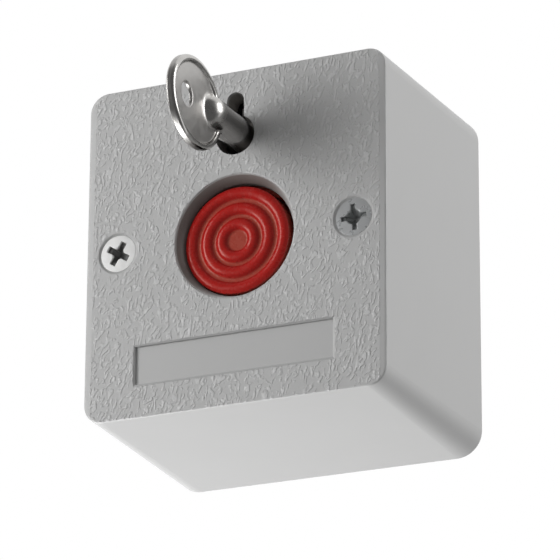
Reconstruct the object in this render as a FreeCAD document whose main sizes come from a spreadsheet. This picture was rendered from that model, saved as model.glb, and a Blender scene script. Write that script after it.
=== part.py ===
"""Panic button: a drafted plastic housing with a recessed round push button that latches, and a key that
resets it. The wall face is the XZ plane, X runs to the right, Z up, and the front looks along -Y."""
import FreeCAD, Part
import math
import os
import types

import Sketcher

# Driving sizes in millimetres. A depth is measured from the wall towards the front.
DRIVING = [
    ("body_width", 48.2, "cover width at the wall"),
    ("body_height", 51.9, "cover height at the wall"),
    ("body_depth", 32.5, "wall to front face"),
    ("side_draft", 0.97, "how far each side leans in over the whole depth"),
    ("corner_radius", 3.8, "cover corners at the wall"),
    ("front_edge_radius", 0.35, "round between front face and sides"),
    ("side_wall", 1.9, "thickness of the four sides"),
    ("front_wall", 2.2, "thickness of the front"),
    ("button_hole_radius", 9.19, "round hole for the button"),
    ("hole_edge_radius", 0.25, "round on the hole's front edge"),
    ("collar_wall", 1.5, "thickness of the collar round the button"),
    ("collar_depth", 5.3, "front face to the collar's inner end"),
    ("cover_screw_inset", 5.9, "cover side at the wall to each cover screw"),
    ("cover_screw_hole_radius", 1.65, "clearance hole for a cover screw"),
    ("screw_seat_clearance", 0.03, "cover screw head in its countersink"),
    ("cover_boss_radius", 3.4, "boss round a cover screw"),
    ("cover_post_end", 25.0, "depth where base post and cover boss meet"),
    ("key_height", 15.2, "centre to the key axis"),
    ("keyhole_radius", 3.0, "round part of the keyhole"),
    ("keyhole_slot_width", 2.7, "slot for the key bit"),
    ("keyhole_slot_room", 0.6, "key bit to the slot's top"),
    ("keyhole_boss_wall", 1.3, "wall of the boss behind the keyhole"),
    ("keyhole_boss_depth", 1.4, "length of that boss"),
    ("label_width", 30.3, "label field"),
    ("label_height", 5.6, "label field"),
    ("label_drop", 17.3, "centre to the label field's middle"),
    ("label_recess", 0.3, "depth of the label field"),
    ("rib_width", 1.2, "ribs that stop the base plate"),
    ("rib_proud", 1.45, "rib height over the inner wall at the rim"),
    ("rib_spread_x", 12.0, "top and bottom ribs from the middle"),
    ("rib_spread_z", 13.6, "side ribs from the middle"),
    ("rim_clearance", 0.25, "base plate to cover, each side"),
    ("base_thickness", 2.5, "base plate"),
    ("base_corner_radius", 1.7, "base plate corners"),
    ("cover_post_radius", 3.0, "posts for the cover screws"),
    ("cover_pilot_radius", 1.2, "pilot hole for a cover screw"),
    ("cover_pilot_length", 13.0, "depth of that pilot hole"),
    ("frame_post_radius", 2.6, "posts under the mechanism frame"),
    ("frame_post_side_inset", 3.1, "frame side to the posts under it"),
    ("frame_post_low", 10.9, "lower frame posts below the middle"),
    ("frame_post_top_inset", 3.2, "frame top to the upper posts"),
    ("gusset_width", 1.2, "webs that brace the cover posts"),
    ("gusset_reach", 5.6, "length of a web at the base plate"),
    ("gusset_rise", 12.0, "height of a web"),
    ("small_pilot_radius", 0.8, "pilot hole for a small screw"),
    ("small_clear_radius", 1.15, "clearance hole for a small screw"),
    ("frame_pilot_length", 9.0, "pilot holes in the frame posts"),
    ("board_boss_radius", 2.0, "bosses under the circuit board"),
    ("board_boss_height", 1.5, "height of those bosses"),
    ("board_screw_x", 10.1, "board screws from the middle"),
    ("board_screw_high", 6.6, "upper board screws above the middle"),
    ("board_screw_inset", 3.8, "board's lower edge to its lower screws"),
    ("board_pilot_length", 3.2, "pilot holes in the board bosses"),
    ("wall_slot_width", 3.8, "slots for the wall screws"),
    ("wall_slot_length", 6.4, "slot length, end to end"),
    ("wall_slot_side_inset", 6.2, "cover side at the wall to the slots"),
    ("wall_slot_end_inset", 7.15, "cover top or bottom at the wall to the slots"),
    ("cable_radius", 4.5, "cable entry in the base plate"),
    ("cable_drop", 9.0, "cable entry below the middle"),
    ("board_width", 24.8, "circuit board"),
    ("board_top", 9.0, "board above the middle"),
    ("board_bottom_inset", 3.75, "cover bottom at the wall to the board"),
    ("board_thickness", 1.6, "circuit board"),
    ("board_cable_margin", 0.2, "board hole wider than the cable entry"),
    ("post_notch_gap", 0.35, "gap between the board and a frame post"),
    ("pin_hole_radius", 0.8, "board holes for pins"),
    ("frame_front", 23.6, "depth of the frame plate's front face"),
    ("frame_thickness", 2.0, "mechanism frame plate"),
    ("frame_width", 25.2, "mechanism frame"),
    ("frame_top_inset", 3.75, "cover top at the wall to the frame"),
    ("frame_bottom", 14.2, "frame below the middle"),
    ("frame_corner_radius", 1.5, "frame corners"),
    ("frame_rim_width", 1.1, "stiffening rim round the frame"),
    ("frame_rim_height", 1.1, "height of that rim"),
    ("rim_gap_half", 6.5, "half the gap in the rim above the rotor"),
    ("stem_radius", 4.0, "plunger stem"),
    ("running_clearance", 0.08, "radial clearance of a running fit"),
    ("stem_guide_wall", 1.0, "wall of the stem guide on the frame"),
    ("stem_guide_height", 1.3, "height of the stem guide"),
    ("spring_seat_depth", 0.5, "groove that seats the return spring"),
    ("spring_seat_margin", 0.3, "groove wider than the spring, each side"),
    ("guide_rail_x", 6.7, "inner side of the latch guide rails"),
    ("guide_rail_width", 1.6, "latch guide rails"),
    ("guide_rail_half", 6.2, "half length of the rails"),
    ("guide_lip_reach", 0.8, "lip of a rail under the latch plate"),
    ("guide_lip_thickness", 0.95, "thickness of the lip"),
    ("latch_gap", 0.1, "play of the latch plate between frame and lip"),
    ("latch_thickness", 1.2, "latch plate"),
    ("latch_half_width", 6.5, "latch plate"),
    ("latch_bottom", 7.6, "latch plate below the middle"),
    ("latch_top", 11.0, "latch plate above the middle"),
    ("latch_shoulder", 7.4, "where the latch plate starts to narrow"),
    ("latch_nose_half", 4.0, "half width of the end under the cam"),
    ("latch_window_radius", 4.3, "ends of the latch window"),
    ("latch_window_clearance", 0.15, "catching edge to the stem"),
    ("latch_travel", 1.3, "how far the cam pushes the latch plate"),
    ("latch_tongue_width", 1.0, "tongue in the latch spring"),
    ("latch_tongue_length", 2.0, "tongue in the latch spring"),
    ("latch_stop_z", 12.4, "spring abutment below the middle"),
    ("latch_spring_radius", 1.15, "latch spring, mean"),
    ("latch_spring_wire", 0.18, "latch spring wire radius"),
    ("latch_spring_turns", 5, "latch spring"),
    ("spring_pocket_depth", 0.75, "pocket over the latch spring"),
    ("button_travel", 2.0, "stroke of the button"),
    ("cap_radius", 8.0, "red cap"),
    ("cap_recess", 1.4, "front face to the cap's ring crests"),
    ("cap_first_ring", 2.45, "radius of the inmost ring's crest"),
    ("cap_ring_pitch", 2.25, "distance between ring crests"),
    ("cap_ring_minor", 0.8, "section radius of a ring"),
    ("cap_ring_height", 0.55, "ring crests over the grooves"),
    ("cap_roof", 1.15, "cap thickness under the grooves"),
    ("cap_skirt_wall", 1.3, "cap skirt"),
    ("cap_brim_radius", 9.9, "brim behind the collar"),
    ("cap_brim_thickness", 1.1, "brim"),
    ("cap_collar_gap", 0.2, "brim to the collar's end"),
    ("cap_hub_radius", 4.9, "hub that holds the stem"),
    ("cap_hub_length", 2.2, "hub"),
    ("stem_seat_gap", 0.4, "stem end to the cap's roof"),
    ("stem_foot_radius", 5.2, "foot of the stem"),
    ("stem_foot_thickness", 0.95, "foot of the stem"),
    ("stem_foot_gap", 0.15, "foot to latch plate"),
    ("stem_groove_depth", 1.0, "latch groove in the stem"),
    ("stem_groove_play", 0.1, "groove longer than the latch plate, each side"),
    ("stem_nose_radius", 1.6, "nose on the switch lever"),
    ("stem_nose_flat", 0.3, "flat of the nose"),
    ("stem_nose_length", 0.9, "nose under the foot"),
    ("return_spring_radius", 5.65, "return spring, mean"),
    ("return_spring_wire", 0.3, "return spring wire radius"),
    ("return_spring_turns", 3, "return spring"),
    ("spring_end_gap", 0.05, "spring end to its seat"),
    ("rotor_journal_radius", 4.0, "rotor journal in the frame"),
    ("rotor_head_radius", 4.8, "rotor head"),
    ("rotor_head_end", 27.0, "depth of the rotor's front end"),
    ("rotor_floor", 24.5, "depth of the socket's floor"),
    ("rotor_ear_wall", 1.1, "ear beyond the key bit"),
    ("rotor_ear_width", 4.6, "ear round the bit slot"),
    ("rotor_pin_radius", 1.1, "pin inside the hollow key barrel"),
    ("rotor_pin_end", 27.4, "depth of the pin's end"),
    ("rotor_tail_width", 4.0, "square tail that carries the cam"),
    ("washer_thickness", 0.4, "washer under the rotor head"),
    ("washer_outer_radius", 5.0, "washer under the rotor head"),
    ("cam_radius", 3.2, "release cam"),
    ("cam_lobe_radius", 1.2, "lobe of the cam"),
    ("cam_lobe_offset", 4.1, "rotor axis to the lobe's centre"),
    ("key_barrel_radius", 2.25, "key barrel"),
    ("key_bore_radius", 1.35, "bore of the hollow barrel"),
    ("key_bore_length", 4.0, "bore of the hollow barrel"),
    ("key_barrel_start", 24.7, "depth of the barrel's inner end"),
    ("key_dome_reach", 11.0, "front face to the barrel's domed end"),
    ("key_bit_width", 2.0, "key bit"),
    ("key_bit_inset", 4.85, "cover top at the wall to the bit's edge"),
    ("key_bit_length", 3.4, "key bit along the barrel"),
    ("key_bit_setback", 0.1, "barrel end to the bit"),
    ("key_notch", 0.8, "notch in the bit"),
    ("key_socket_clearance", 0.12, "key in the rotor"),
    ("bow_centre_reach", 13.4, "front face to the bow's centre"),
    ("bow_half_length", 7.8, "oval bow along the key"),
    ("bow_half_height", 6.5, "oval bow across the key"),
    ("bow_thickness", 1.4, "bow at its rim"),
    ("bow_rim_width", 0.9, "raised rim of the bow"),
    ("bow_recess", 0.3, "field inside the rim, each side"),
    ("bow_edge_radius", 0.2, "round on the bow's rim"),
    ("ring_hole_radius", 1.95, "hole for a key ring"),
    ("ring_hole_offset", 2.7, "bow centre to the ring hole"),
    ("cover_screw_head_radius", 2.75, "cover screw head"),
    ("cover_screw_head_rim", 0.05, "straight edge of that head"),
    ("cover_screw_sink", 0.05, "head below the front face"),
    ("cover_screw_radius", 1.45, "cover screw shank"),
    ("cover_screw_length", 19.0, "cover screw under its head's edge"),
    ("cross_width", 0.85, "cross recess"),
    ("cross_reach", 1.65, "cross recess, centre to arm end"),
    ("cross_depth", 1.5, "cross recess"),
    ("small_head_radius", 1.9, "small pan head"),
    ("small_head_height", 1.25, "small pan head"),
    ("small_screw_radius", 0.95, "small screw shank"),
    ("frame_screw_length", 9.5, "frame screws"),
    ("board_screw_length", 4.0, "board screws"),
    ("cam_screw_length", 3.0, "cam screw"),
    ("small_cross_width", 0.5, "cross recess of a small screw"),
    ("small_cross_reach", 1.0, "cross recess of a small screw"),
    ("small_cross_depth", 0.8, "cross recess of a small screw"),
    ("switch_length", 19.8, "microswitch body"),
    ("switch_width", 6.4, "microswitch body"),
    ("switch_height", 10.2, "microswitch body"),
    ("switch_hole_radius", 1.15, "holes through the switch"),
    ("switch_hole_spread", 4.75, "those holes from the middle"),
    ("switch_hole_rise", 2.9, "those holes above the board"),
    ("lever_pivot_x", 7.6, "lever pivot left of the middle"),
    ("lever_pivot_rise", 0.25, "pivot over the switch body"),
    ("lever_trunnion_radius", 0.45, "lever trunnion"),
    ("lever_ear_radius", 0.95, "ears round the trunnion"),
    ("lever_ear_thickness", 0.7, "ears round the trunnion"),
    ("lever_ear_gap", 0.2, "lever to ear"),
    ("lever_thickness", 0.3, "switch lever"),
    ("lever_length", 11.0, "switch lever, pivot to end"),
    ("lever_gap", 0.15, "stem nose to lever"),
    ("nub_x", 2.4, "switch plunger left of the middle"),
    ("nub_length", 1.7, "switch plunger"),
    ("nub_width", 3.0, "switch plunger"),
    ("nub_rise", 0.6, "switch plunger over the body"),
    ("nub_travel", 0.55, "switch plunger stroke"),
    ("nub_clearance", 0.1, "switch plunger in its pocket"),
    ("pin_width", 1.1, "switch pins"),
    ("pin_thickness", 0.5, "switch pins"),
    ("pin_pitch", 7.4, "switch pins"),
    ("pin_end", 2.9, "depth where pins end behind the board"),
    ("block_width", 15.8, "terminal block"),
    ("block_rise", 7.6, "board's lower edge to the terminal block's upper side"),
    ("block_length", 7.4, "terminal block"),
    ("block_height", 10.0, "terminal block"),
    ("block_floor", 1.4, "terminal block floor"),
    ("block_roof", 2.8, "terminal block over the wire openings"),
    ("block_back_wall", 1.5, "terminal block behind the clamps"),
    ("block_chamfer", 1.0, "terminal block front edge"),
    ("pole_count", 3, "terminals"),
    ("pole_pitch", 5.08, "terminals"),
    ("pole_opening", 4.0, "wire opening"),
    ("pole_screw_drop", 3.2, "block's upper side to the screws"),
    ("shaft_radius", 1.8, "screw shaft in the block"),
    ("clamp_clearance", 0.1, "clamp in its opening"),
    ("clamp_wall", 0.6, "clamp"),
    ("clamp_length", 5.0, "clamp along the wire"),
    ("clamp_tail_radius", 0.5, "clamp tail through the board"),
    ("terminal_head_radius", 1.6, "terminal screw head"),
    ("terminal_head_height", 1.6, "terminal screw head"),
    ("terminal_screw_radius", 1.0, "terminal screw shank"),
    ("terminal_screw_length", 2.2, "terminal screw under its head"),
    ("terminal_seat_gap", 0.3, "clamp to screw head"),
]

SHEET = "Sizes"
# How far a feature reaches into what it joins.
OVERLAP = 0.4
# How far past a surface a cut starts or ends.
BEYOND = 1
# Where each cover screw stopped turning, in degrees.
LEFT_SCREW_TURN = 30
RIGHT_SCREW_TURN = 5

doc = FreeCAD.newDocument("PanicButton")
sheet = doc.addObject("Spreadsheet::Sheet", SHEET)


class Size:
    """A size that carries its value and the sheet expression that it comes from."""

    def __init__(self, value, text):
        self.value = value
        self.text = text

    def __add__(self, other):
        other = as_size(other)
        return Size(self.value + other.value, f"({self.text} + {other.text})")

    def __sub__(self, other):
        other = as_size(other)
        return Size(self.value - other.value, f"({self.text} - {other.text})")

    def __rsub__(self, other):
        return as_size(other) - self

    def __mul__(self, factor):
        factor = as_size(factor)
        return Size(self.value * factor.value, f"({self.text} * {factor.text})")

    def __truediv__(self, divisor):
        divisor = as_size(divisor)
        return Size(self.value / divisor.value, f"({self.text} / {divisor.text})")

    def __neg__(self):
        return self * -1

    __radd__ = __add__
    __rmul__ = __mul__


def as_size(number):
    """Wraps a plain number, and leaves a Size as it is."""
    if isinstance(number, Size):
        return number
    return Size(float(number), f"({float(number)})")


def fill_sheet():
    """Writes the driving sizes into the sheet and returns them by name."""
    sizes = {}
    for row, (alias, number, note) in enumerate(DRIVING, start=1):
        sheet.set(f"A{row}", note)
        sheet.set(f"B{row}", str(number))
        sheet.setAlias(f"B{row}", alias)
        sizes[alias] = Size(float(number), f"{SHEET}.{alias}")
    doc.recompute()
    return sizes


S = types.SimpleNamespace(**fill_sheet())

DRAFT_ANGLE = Size(math.degrees(math.atan(S.side_draft.value / S.body_depth.value)),
                   f"atan({S.side_draft.text} / {S.body_depth.text})")
HALF_WIDTH = S.body_width / 2
HALF_HEIGHT = S.body_height / 2
HOLLOW_END = S.body_depth - S.front_wall
COLLAR_END = S.body_depth - S.collar_depth
BOARD_BACK = S.base_thickness + S.board_boss_height
BOARD_FRONT = BOARD_BACK + S.board_thickness
FRAME_BACK = S.frame_front - S.frame_thickness
LATCH_FRONT = FRAME_BACK - S.latch_gap
LATCH_BACK = LATCH_FRONT - S.latch_thickness
FOOT_FRONT = LATCH_BACK - S.stem_foot_gap
FOOT_BACK = FOOT_FRONT - S.stem_foot_thickness
NOSE_END = FOOT_BACK - S.stem_nose_length
CAP_CREST = S.body_depth - S.cap_recess
CAP_GROOVE = CAP_CREST - S.cap_ring_height
CAP_ROOF = CAP_GROOVE - S.cap_roof
BRIM_FRONT = COLLAR_END - S.cap_collar_gap
BRIM_BACK = BRIM_FRONT - S.cap_brim_thickness
SWITCH_TOP = BOARD_FRONT + S.switch_height
PIVOT_DEPTH = SWITCH_TOP + S.lever_pivot_rise
BLOCK_FRONT = BOARD_FRONT + S.block_height
POLE_FLOOR = BOARD_FRONT + S.block_floor
POLE_ROOF = BLOCK_FRONT - S.block_roof
COVER_SCREW_X = HALF_WIDTH - S.cover_screw_inset
WALL_SLOT_X = HALF_WIDTH - S.wall_slot_side_inset
WALL_SLOT_Z = HALF_HEIGHT - S.wall_slot_end_inset
FRAME_TOP = HALF_HEIGHT - S.frame_top_inset
FRAME_POST_X = S.frame_width / 2 - S.frame_post_side_inset
FRAME_POST_TOP = FRAME_TOP - S.frame_post_top_inset
BOARD_BOTTOM = HALF_HEIGHT - S.board_bottom_inset
BOARD_SCREW_LOW = BOARD_BOTTOM - S.board_screw_inset
BLOCK_TOP = BOARD_BOTTOM - S.block_rise
POLE_SCREW_Z = -(BLOCK_TOP + S.pole_screw_drop)
KEY_BIT_REACH = HALF_HEIGHT - S.key_height - S.key_bit_inset
ROTOR_EAR_REACH = KEY_BIT_REACH + S.rotor_ear_wall
KEYHOLE_SLOT_REACH = KEY_BIT_REACH + S.keyhole_slot_room
BOW_DEPTH = S.body_depth + S.bow_centre_reach
SCREW_SEAT_RADIUS = (S.cover_screw_head_radius + S.cover_screw_head_rim + S.cover_screw_sink
                     + S.screw_seat_clearance)


def bind(feature, path, size):
    """Binds one property of a feature to the sheet."""
    size = as_size(size)
    feature.setExpression(path, size.text)


def corners(low_x, low_y, high_x, high_y):
    """The four corners of an upright rectangle."""
    return [(low_x, low_y), (high_x, low_y), (high_x, high_y), (low_x, high_y)]


class Outline:
    """A sketch on one origin plane of its body, with all its dimensions bound to the sheet."""

    def __init__(self, body, name, plane, offset):
        self.sketch = body.newObject("Sketcher::SketchObject", name)
        support = [item for item in body.Origin.OriginFeatures if item.Role == plane]
        self.sketch.AttachmentSupport = [(support[0], "")]
        self.sketch.MapMode = "FlatFace"
        bind(self.sketch, "AttachmentOffset.Base.z", offset)

    def fix(self, kind, shape, end, size):
        """Holds one point at a bound distance from the sketch's origin."""
        size = as_size(size)
        row = self.sketch.addConstraint(Sketcher.Constraint(kind, -1, 1, shape, end, size.value))
        bind(self.sketch, f"Constraints[{row}]", size)

    def polygon(self, points):
        """A closed outline of straight lines."""
        vectors = [FreeCAD.Vector(as_size(x).value, as_size(y).value, 0) for x, y in points]
        first = self.sketch.GeometryCount
        count = len(points)
        for index in range(count):
            line = Part.LineSegment(vectors[index], vectors[(index + 1) % count])
            self.sketch.addGeometry(line, False)
        for index in range(count):
            follower = first + (index + 1) % count
            self.sketch.addConstraint(Sketcher.Constraint("Coincident", first + index, 2, follower, 1))
        for index, (x, y) in enumerate(points):
            self.fix("DistanceX", first + index, 1, x)
            self.fix("DistanceY", first + index, 1, y)

    def circle(self, x, y, radius):
        """A full circle."""
        radius = as_size(radius)
        centre = FreeCAD.Vector(as_size(x).value, as_size(y).value, 0)
        round_line = Part.Circle(centre, FreeCAD.Vector(0, 0, 1), radius.value)
        shape = self.sketch.addGeometry(round_line, False)
        self.fix("DistanceX", shape, 3, x)
        self.fix("DistanceY", shape, 3, y)
        row = self.sketch.addConstraint(Sketcher.Constraint("Radius", shape, radius.value))
        bind(self.sketch, f"Constraints[{row}]", radius)

    def arc(self, x, y, radius, start, end):
        """Draws one arc, its angles in degrees, and returns its number."""
        centre = FreeCAD.Vector(as_size(x).value, as_size(y).value, 0)
        ring = Part.Circle(centre, FreeCAD.Vector(0, 0, 1), as_size(radius).value)
        curve = Part.ArcOfCircle(ring, math.radians(start), math.radians(end))
        return self.sketch.addGeometry(curve, False)

    def line(self, start, end):
        """Draws one line and returns its number."""
        ends = [FreeCAD.Vector(as_size(x).value, as_size(y).value, 0) for x, y in (start, end)]
        return self.sketch.addGeometry(Part.LineSegment(*ends), False)

    def slot(self, x, y, radius, length, upright=False):
        """A slot with round ends, centred at x, y, with its end-to-end length."""
        reach = (length - radius * 2) / 2
        along = (as_size(0), reach) if upright else (reach, as_size(0))
        turn = 90 if upright else 0
        near = (x - along[0], y - along[1])
        far = (x + along[0], y + along[1])
        far_arc = self.arc(*far, radius, turn - 90, turn + 90)
        near_arc = self.arc(*near, radius, turn + 90, turn + 270)
        side = (as_size(0), radius) if not upright else (-radius, as_size(0))
        upper = self.line((far[0] + side[0], far[1] + side[1]), (near[0] + side[0], near[1] + side[1]))
        lower = self.line((near[0] - side[0], near[1] - side[1]), (far[0] - side[0], far[1] - side[1]))
        for one, one_end, two, two_end in ((far_arc, 2, upper, 1), (upper, 2, near_arc, 1),
                                           (near_arc, 2, lower, 1), (lower, 2, far_arc, 1)):
            self.sketch.addConstraint(Sketcher.Constraint("Tangent", one, one_end, two, two_end))
        for arc, centre in ((far_arc, far), (near_arc, near)):
            self.fix("DistanceX", arc, 3, centre[0])
            self.fix("DistanceY", arc, 3, centre[1])
        row = self.sketch.addConstraint(Sketcher.Constraint("Radius", far_arc, as_size(radius).value))
        bind(self.sketch, f"Constraints[{row}]", radius)

    def rounded_rectangle(self, x, y, width, height, radius):
        """An upright rectangle with equal round corners, centred at x, y."""
        left, right = x - width / 2, x + width / 2
        low, high = y - height / 2, y + height / 2
        rounds = [(right - radius, high - radius, 0), (left + radius, high - radius, 90),
                  (left + radius, low + radius, 180), (right - radius, low + radius, 270)]
        arcs = [self.arc(cx, cy, radius, start, start + 90) for cx, cy, start in rounds]
        sides = [self.line((right - radius, high), (left + radius, high)),
                 self.line((left, high - radius), (left, low + radius)),
                 self.line((left + radius, low), (right - radius, low)),
                 self.line((right, low + radius), (right, high - radius))]
        for index in range(4):
            following = arcs[(index + 1) % 4]
            self.sketch.addConstraint(Sketcher.Constraint("Tangent", arcs[index], 2, sides[index], 1))
            self.sketch.addConstraint(Sketcher.Constraint("Tangent", sides[index], 2, following, 1))
        for arc, (cx, cy, start) in zip(arcs, rounds):
            self.fix("DistanceX", arc, 3, cx)
            self.fix("DistanceY", arc, 3, cy)
        row = self.sketch.addConstraint(Sketcher.Constraint("Radius", arcs[0], as_size(radius).value))
        bind(self.sketch, f"Constraints[{row}]", radius)


def new_body(name):
    """A body whose label names its file."""
    body = doc.addObject("PartDesign::Body", name)
    body.Label = name
    return body


def volume(body):
    """The body's volume so far."""
    doc.recompute()
    shape = body.Shape
    return 0 if shape.isNull() else shape.Volume


def build(body, name, draw, start, end, plane="XZ_Plane", remove=False, taper=None):
    """Adds or removes the drawn outline between two offsets from a plane of the body."""
    before = volume(body)
    outline = Outline(body, f"{name}Outline", plane, start)
    draw(outline)
    kind = "PartDesign::Pocket" if remove else "PartDesign::Pad"
    feature = body.newObject(kind, name)
    feature.Profile = outline.sketch
    feature.Reversed = remove
    bind(feature, "Length", as_size(end) - start)
    if taper is not None:
        bind(feature, "TaperAngle", taper)
    outline.sketch.Visibility = False
    after = volume(body)
    if (after >= before) if remove else (after <= before):
        raise RuntimeError(f"{name} changes nothing")
    return feature


def turn(body, name, draw, plane="XY_Plane", offset=0, remove=False):
    """Turns the drawn profile round the sketch's upright axis."""
    outline = Outline(body, f"{name}Profile", plane, offset)
    draw(outline)
    kind = "PartDesign::Groove" if remove else "PartDesign::Revolution"
    feature = body.newObject(kind, name)
    feature.Profile = outline.sketch
    feature.ReferenceAxis = (outline.sketch, ["V_Axis"])
    feature.Angle = 360
    doc.recompute()
    return feature


def edge_names(shape, wanted):
    """Names the edges that pass a test."""
    return [f"Edge{number}" for number, edge in enumerate(shape.Edges, start=1) if wanted(edge)]


def soften(body, name, wanted, size, kind="PartDesign::Fillet"):
    """Rounds or chamfers the edges that pass a test."""
    doc.recompute()
    base = body.Tip
    feature = body.newObject(kind, name)
    feature.Base = (base, edge_names(base.Shape, wanted))
    bind(feature, "Radius" if kind.endswith("Fillet") else "Size", size)
    doc.recompute()
    return feature


def lies_at(depth):
    """A test for edges that lie at one depth."""
    return lambda edge: all(abs(point.y + depth.value) < 1e-4 for point in edge.discretize(5))


def set_place(item, x, depth, z, axis=(1, 0, 0), angle=0):
    """Places an object and binds its position."""
    item.Placement = FreeCAD.Placement(FreeCAD.Vector(), FreeCAD.Rotation(FreeCAD.Vector(*axis), angle))
    bind(item, "Placement.Base.x", x)
    bind(item, "Placement.Base.y", -as_size(depth))
    bind(item, "Placement.Base.z", z)


def group(name, master, places):
    """Several copies of one master solid as a single sub-part."""
    copies = []
    for number, (x, depth, z, axis, angle) in enumerate(places, start=1):
        link = doc.addObject("App::Link", f"{name}_{number}")
        link.LinkedObject = master
        link.LinkTransform = False
        set_place(link, x, depth, z, axis, angle)
        copies.append(link)
    compound = doc.addObject("Part::Compound", name)
    compound.Label = name
    compound.Links = copies
    doc.recompute()
    return compound


def mirrored_pair(x):
    """The places x and -x."""
    return (-x, x)


def cover():
    """The housing: one drafted shell with its collar, bosses, ribs and keyhole."""
    body = new_body("cover")
    build(body, "CoverBlock",
          lambda o: o.rounded_rectangle(as_size(0), as_size(0), S.body_width, S.body_height, S.corner_radius),
          0, S.body_depth, taper=-DRAFT_ANGLE)
    soften(body, "CoverFrontEdge", lies_at(S.body_depth), S.front_edge_radius)
    build(body, "CoverHollow",
          lambda o: o.rounded_rectangle(as_size(0), as_size(0), S.body_width - S.side_wall * 2,
                                        S.body_height - S.side_wall * 2, S.corner_radius - S.side_wall),
          0, HOLLOW_END, remove=True, taper=-DRAFT_ANGLE)
    into_wall = HOLLOW_END + OVERLAP
    build(body, "CoverCollar", lambda o: o.circle(0, 0, S.button_hole_radius + S.collar_wall),
          COLLAR_END, into_wall)
    build(body, "CoverScrewBosses", cover_boss_outline, S.cover_post_end, into_wall)
    boss_start = HOLLOW_END - S.keyhole_boss_depth
    build(body, "KeyholeBoss", lambda o: o.circle(0, S.key_height, S.keyhole_radius + S.keyhole_boss_wall),
          boss_start, into_wall)
    slot_boss_half = S.keyhole_slot_width / 2 + S.keyhole_boss_wall
    slot_boss_top = S.key_height + KEYHOLE_SLOT_REACH + S.keyhole_boss_wall
    build(body, "KeyholeSlotBoss",
          lambda o: o.polygon(corners(-slot_boss_half, S.key_height, slot_boss_half, slot_boss_top)),
          boss_start, into_wall)
    build(body, "CoverRibs", cover_rib_outline, S.base_thickness, into_wall)
    beyond = S.body_depth + BEYOND
    build(body, "ButtonHole", lambda o: o.circle(0, 0, S.button_hole_radius), COLLAR_END - BEYOND, beyond,
          remove=True)
    build(body, "Keyhole", lambda o: o.circle(0, S.key_height, S.keyhole_radius), boss_start - BEYOND, beyond,
          remove=True)
    slot_middle = S.key_height + KEYHOLE_SLOT_REACH / 2
    build(body, "KeyholeSlot",
          lambda o: o.slot(as_size(0), slot_middle, S.keyhole_slot_width / 2, KEYHOLE_SLOT_REACH, upright=True),
          boss_start - BEYOND, beyond, remove=True)
    build(body, "LabelField", label_outline, S.body_depth - S.label_recess, beyond, remove=True)
    screw_holes(body)
    hole_rim = S.button_hole_radius.value
    soften(body, "HoleEdge",
           lambda edge: lies_at(S.body_depth)(edge) and abs(edge.Length - 2 * math.pi * hole_rim) < 1e-3,
           S.hole_edge_radius)
    return body


def cover_boss_outline(outline):
    """Bosses for the two cover screws."""
    for x in mirrored_pair(COVER_SCREW_X):
        outline.circle(x, 0, S.cover_boss_radius)


def cover_rib_outline(outline):
    """Eight ribs on the inner walls, whose ends stop the base plate."""
    half = S.rib_width / 2
    wall_x = S.body_width / 2 - S.side_wall
    wall_z = S.body_height / 2 - S.side_wall
    for along in mirrored_pair(S.rib_spread_x):
        outline.polygon(corners(along - half, wall_z - S.rib_proud, along + half, wall_z + OVERLAP))
        outline.polygon(corners(along - half, -wall_z - OVERLAP, along + half, -wall_z + S.rib_proud))
    for along in mirrored_pair(S.rib_spread_z):
        outline.polygon(corners(wall_x - S.rib_proud, along - half, wall_x + OVERLAP, along + half))
        outline.polygon(corners(-wall_x - OVERLAP, along - half, -wall_x + S.rib_proud, along + half))


def label_outline(outline):
    """The plain field for a label."""
    half = S.label_width / 2
    outline.polygon(corners(-half, -S.label_drop - S.label_height / 2,
                            half, -S.label_drop + S.label_height / 2))


def screw_holes(body):
    """Two countersunk holes from the front face."""
    outline = Outline(body, "CoverScrewHolesOutline", "XZ_Plane", S.body_depth)
    for x in mirrored_pair(COVER_SCREW_X):
        outline.circle(x, 0, S.cover_screw_hole_radius)
    doc.recompute()
    before = body.Shape.Volume
    hole = body.newObject("PartDesign::Hole", "CoverScrewHoles")
    hole.Profile = outline.sketch
    doc.recompute()
    hole.DepthType = "ThroughAll"
    hole.HoleCutType = "Countersink"
    hole.HoleCutCustomValues = True
    bind(hole, "Diameter", S.cover_screw_hole_radius * 2)
    bind(hole, "HoleCutDiameter", SCREW_SEAT_RADIUS * 2)
    hole.HoleCutCountersinkAngle = 90
    doc.recompute()
    if body.Shape.Volume >= before:
        raise RuntimeError("the screw holes cut nothing")


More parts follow.
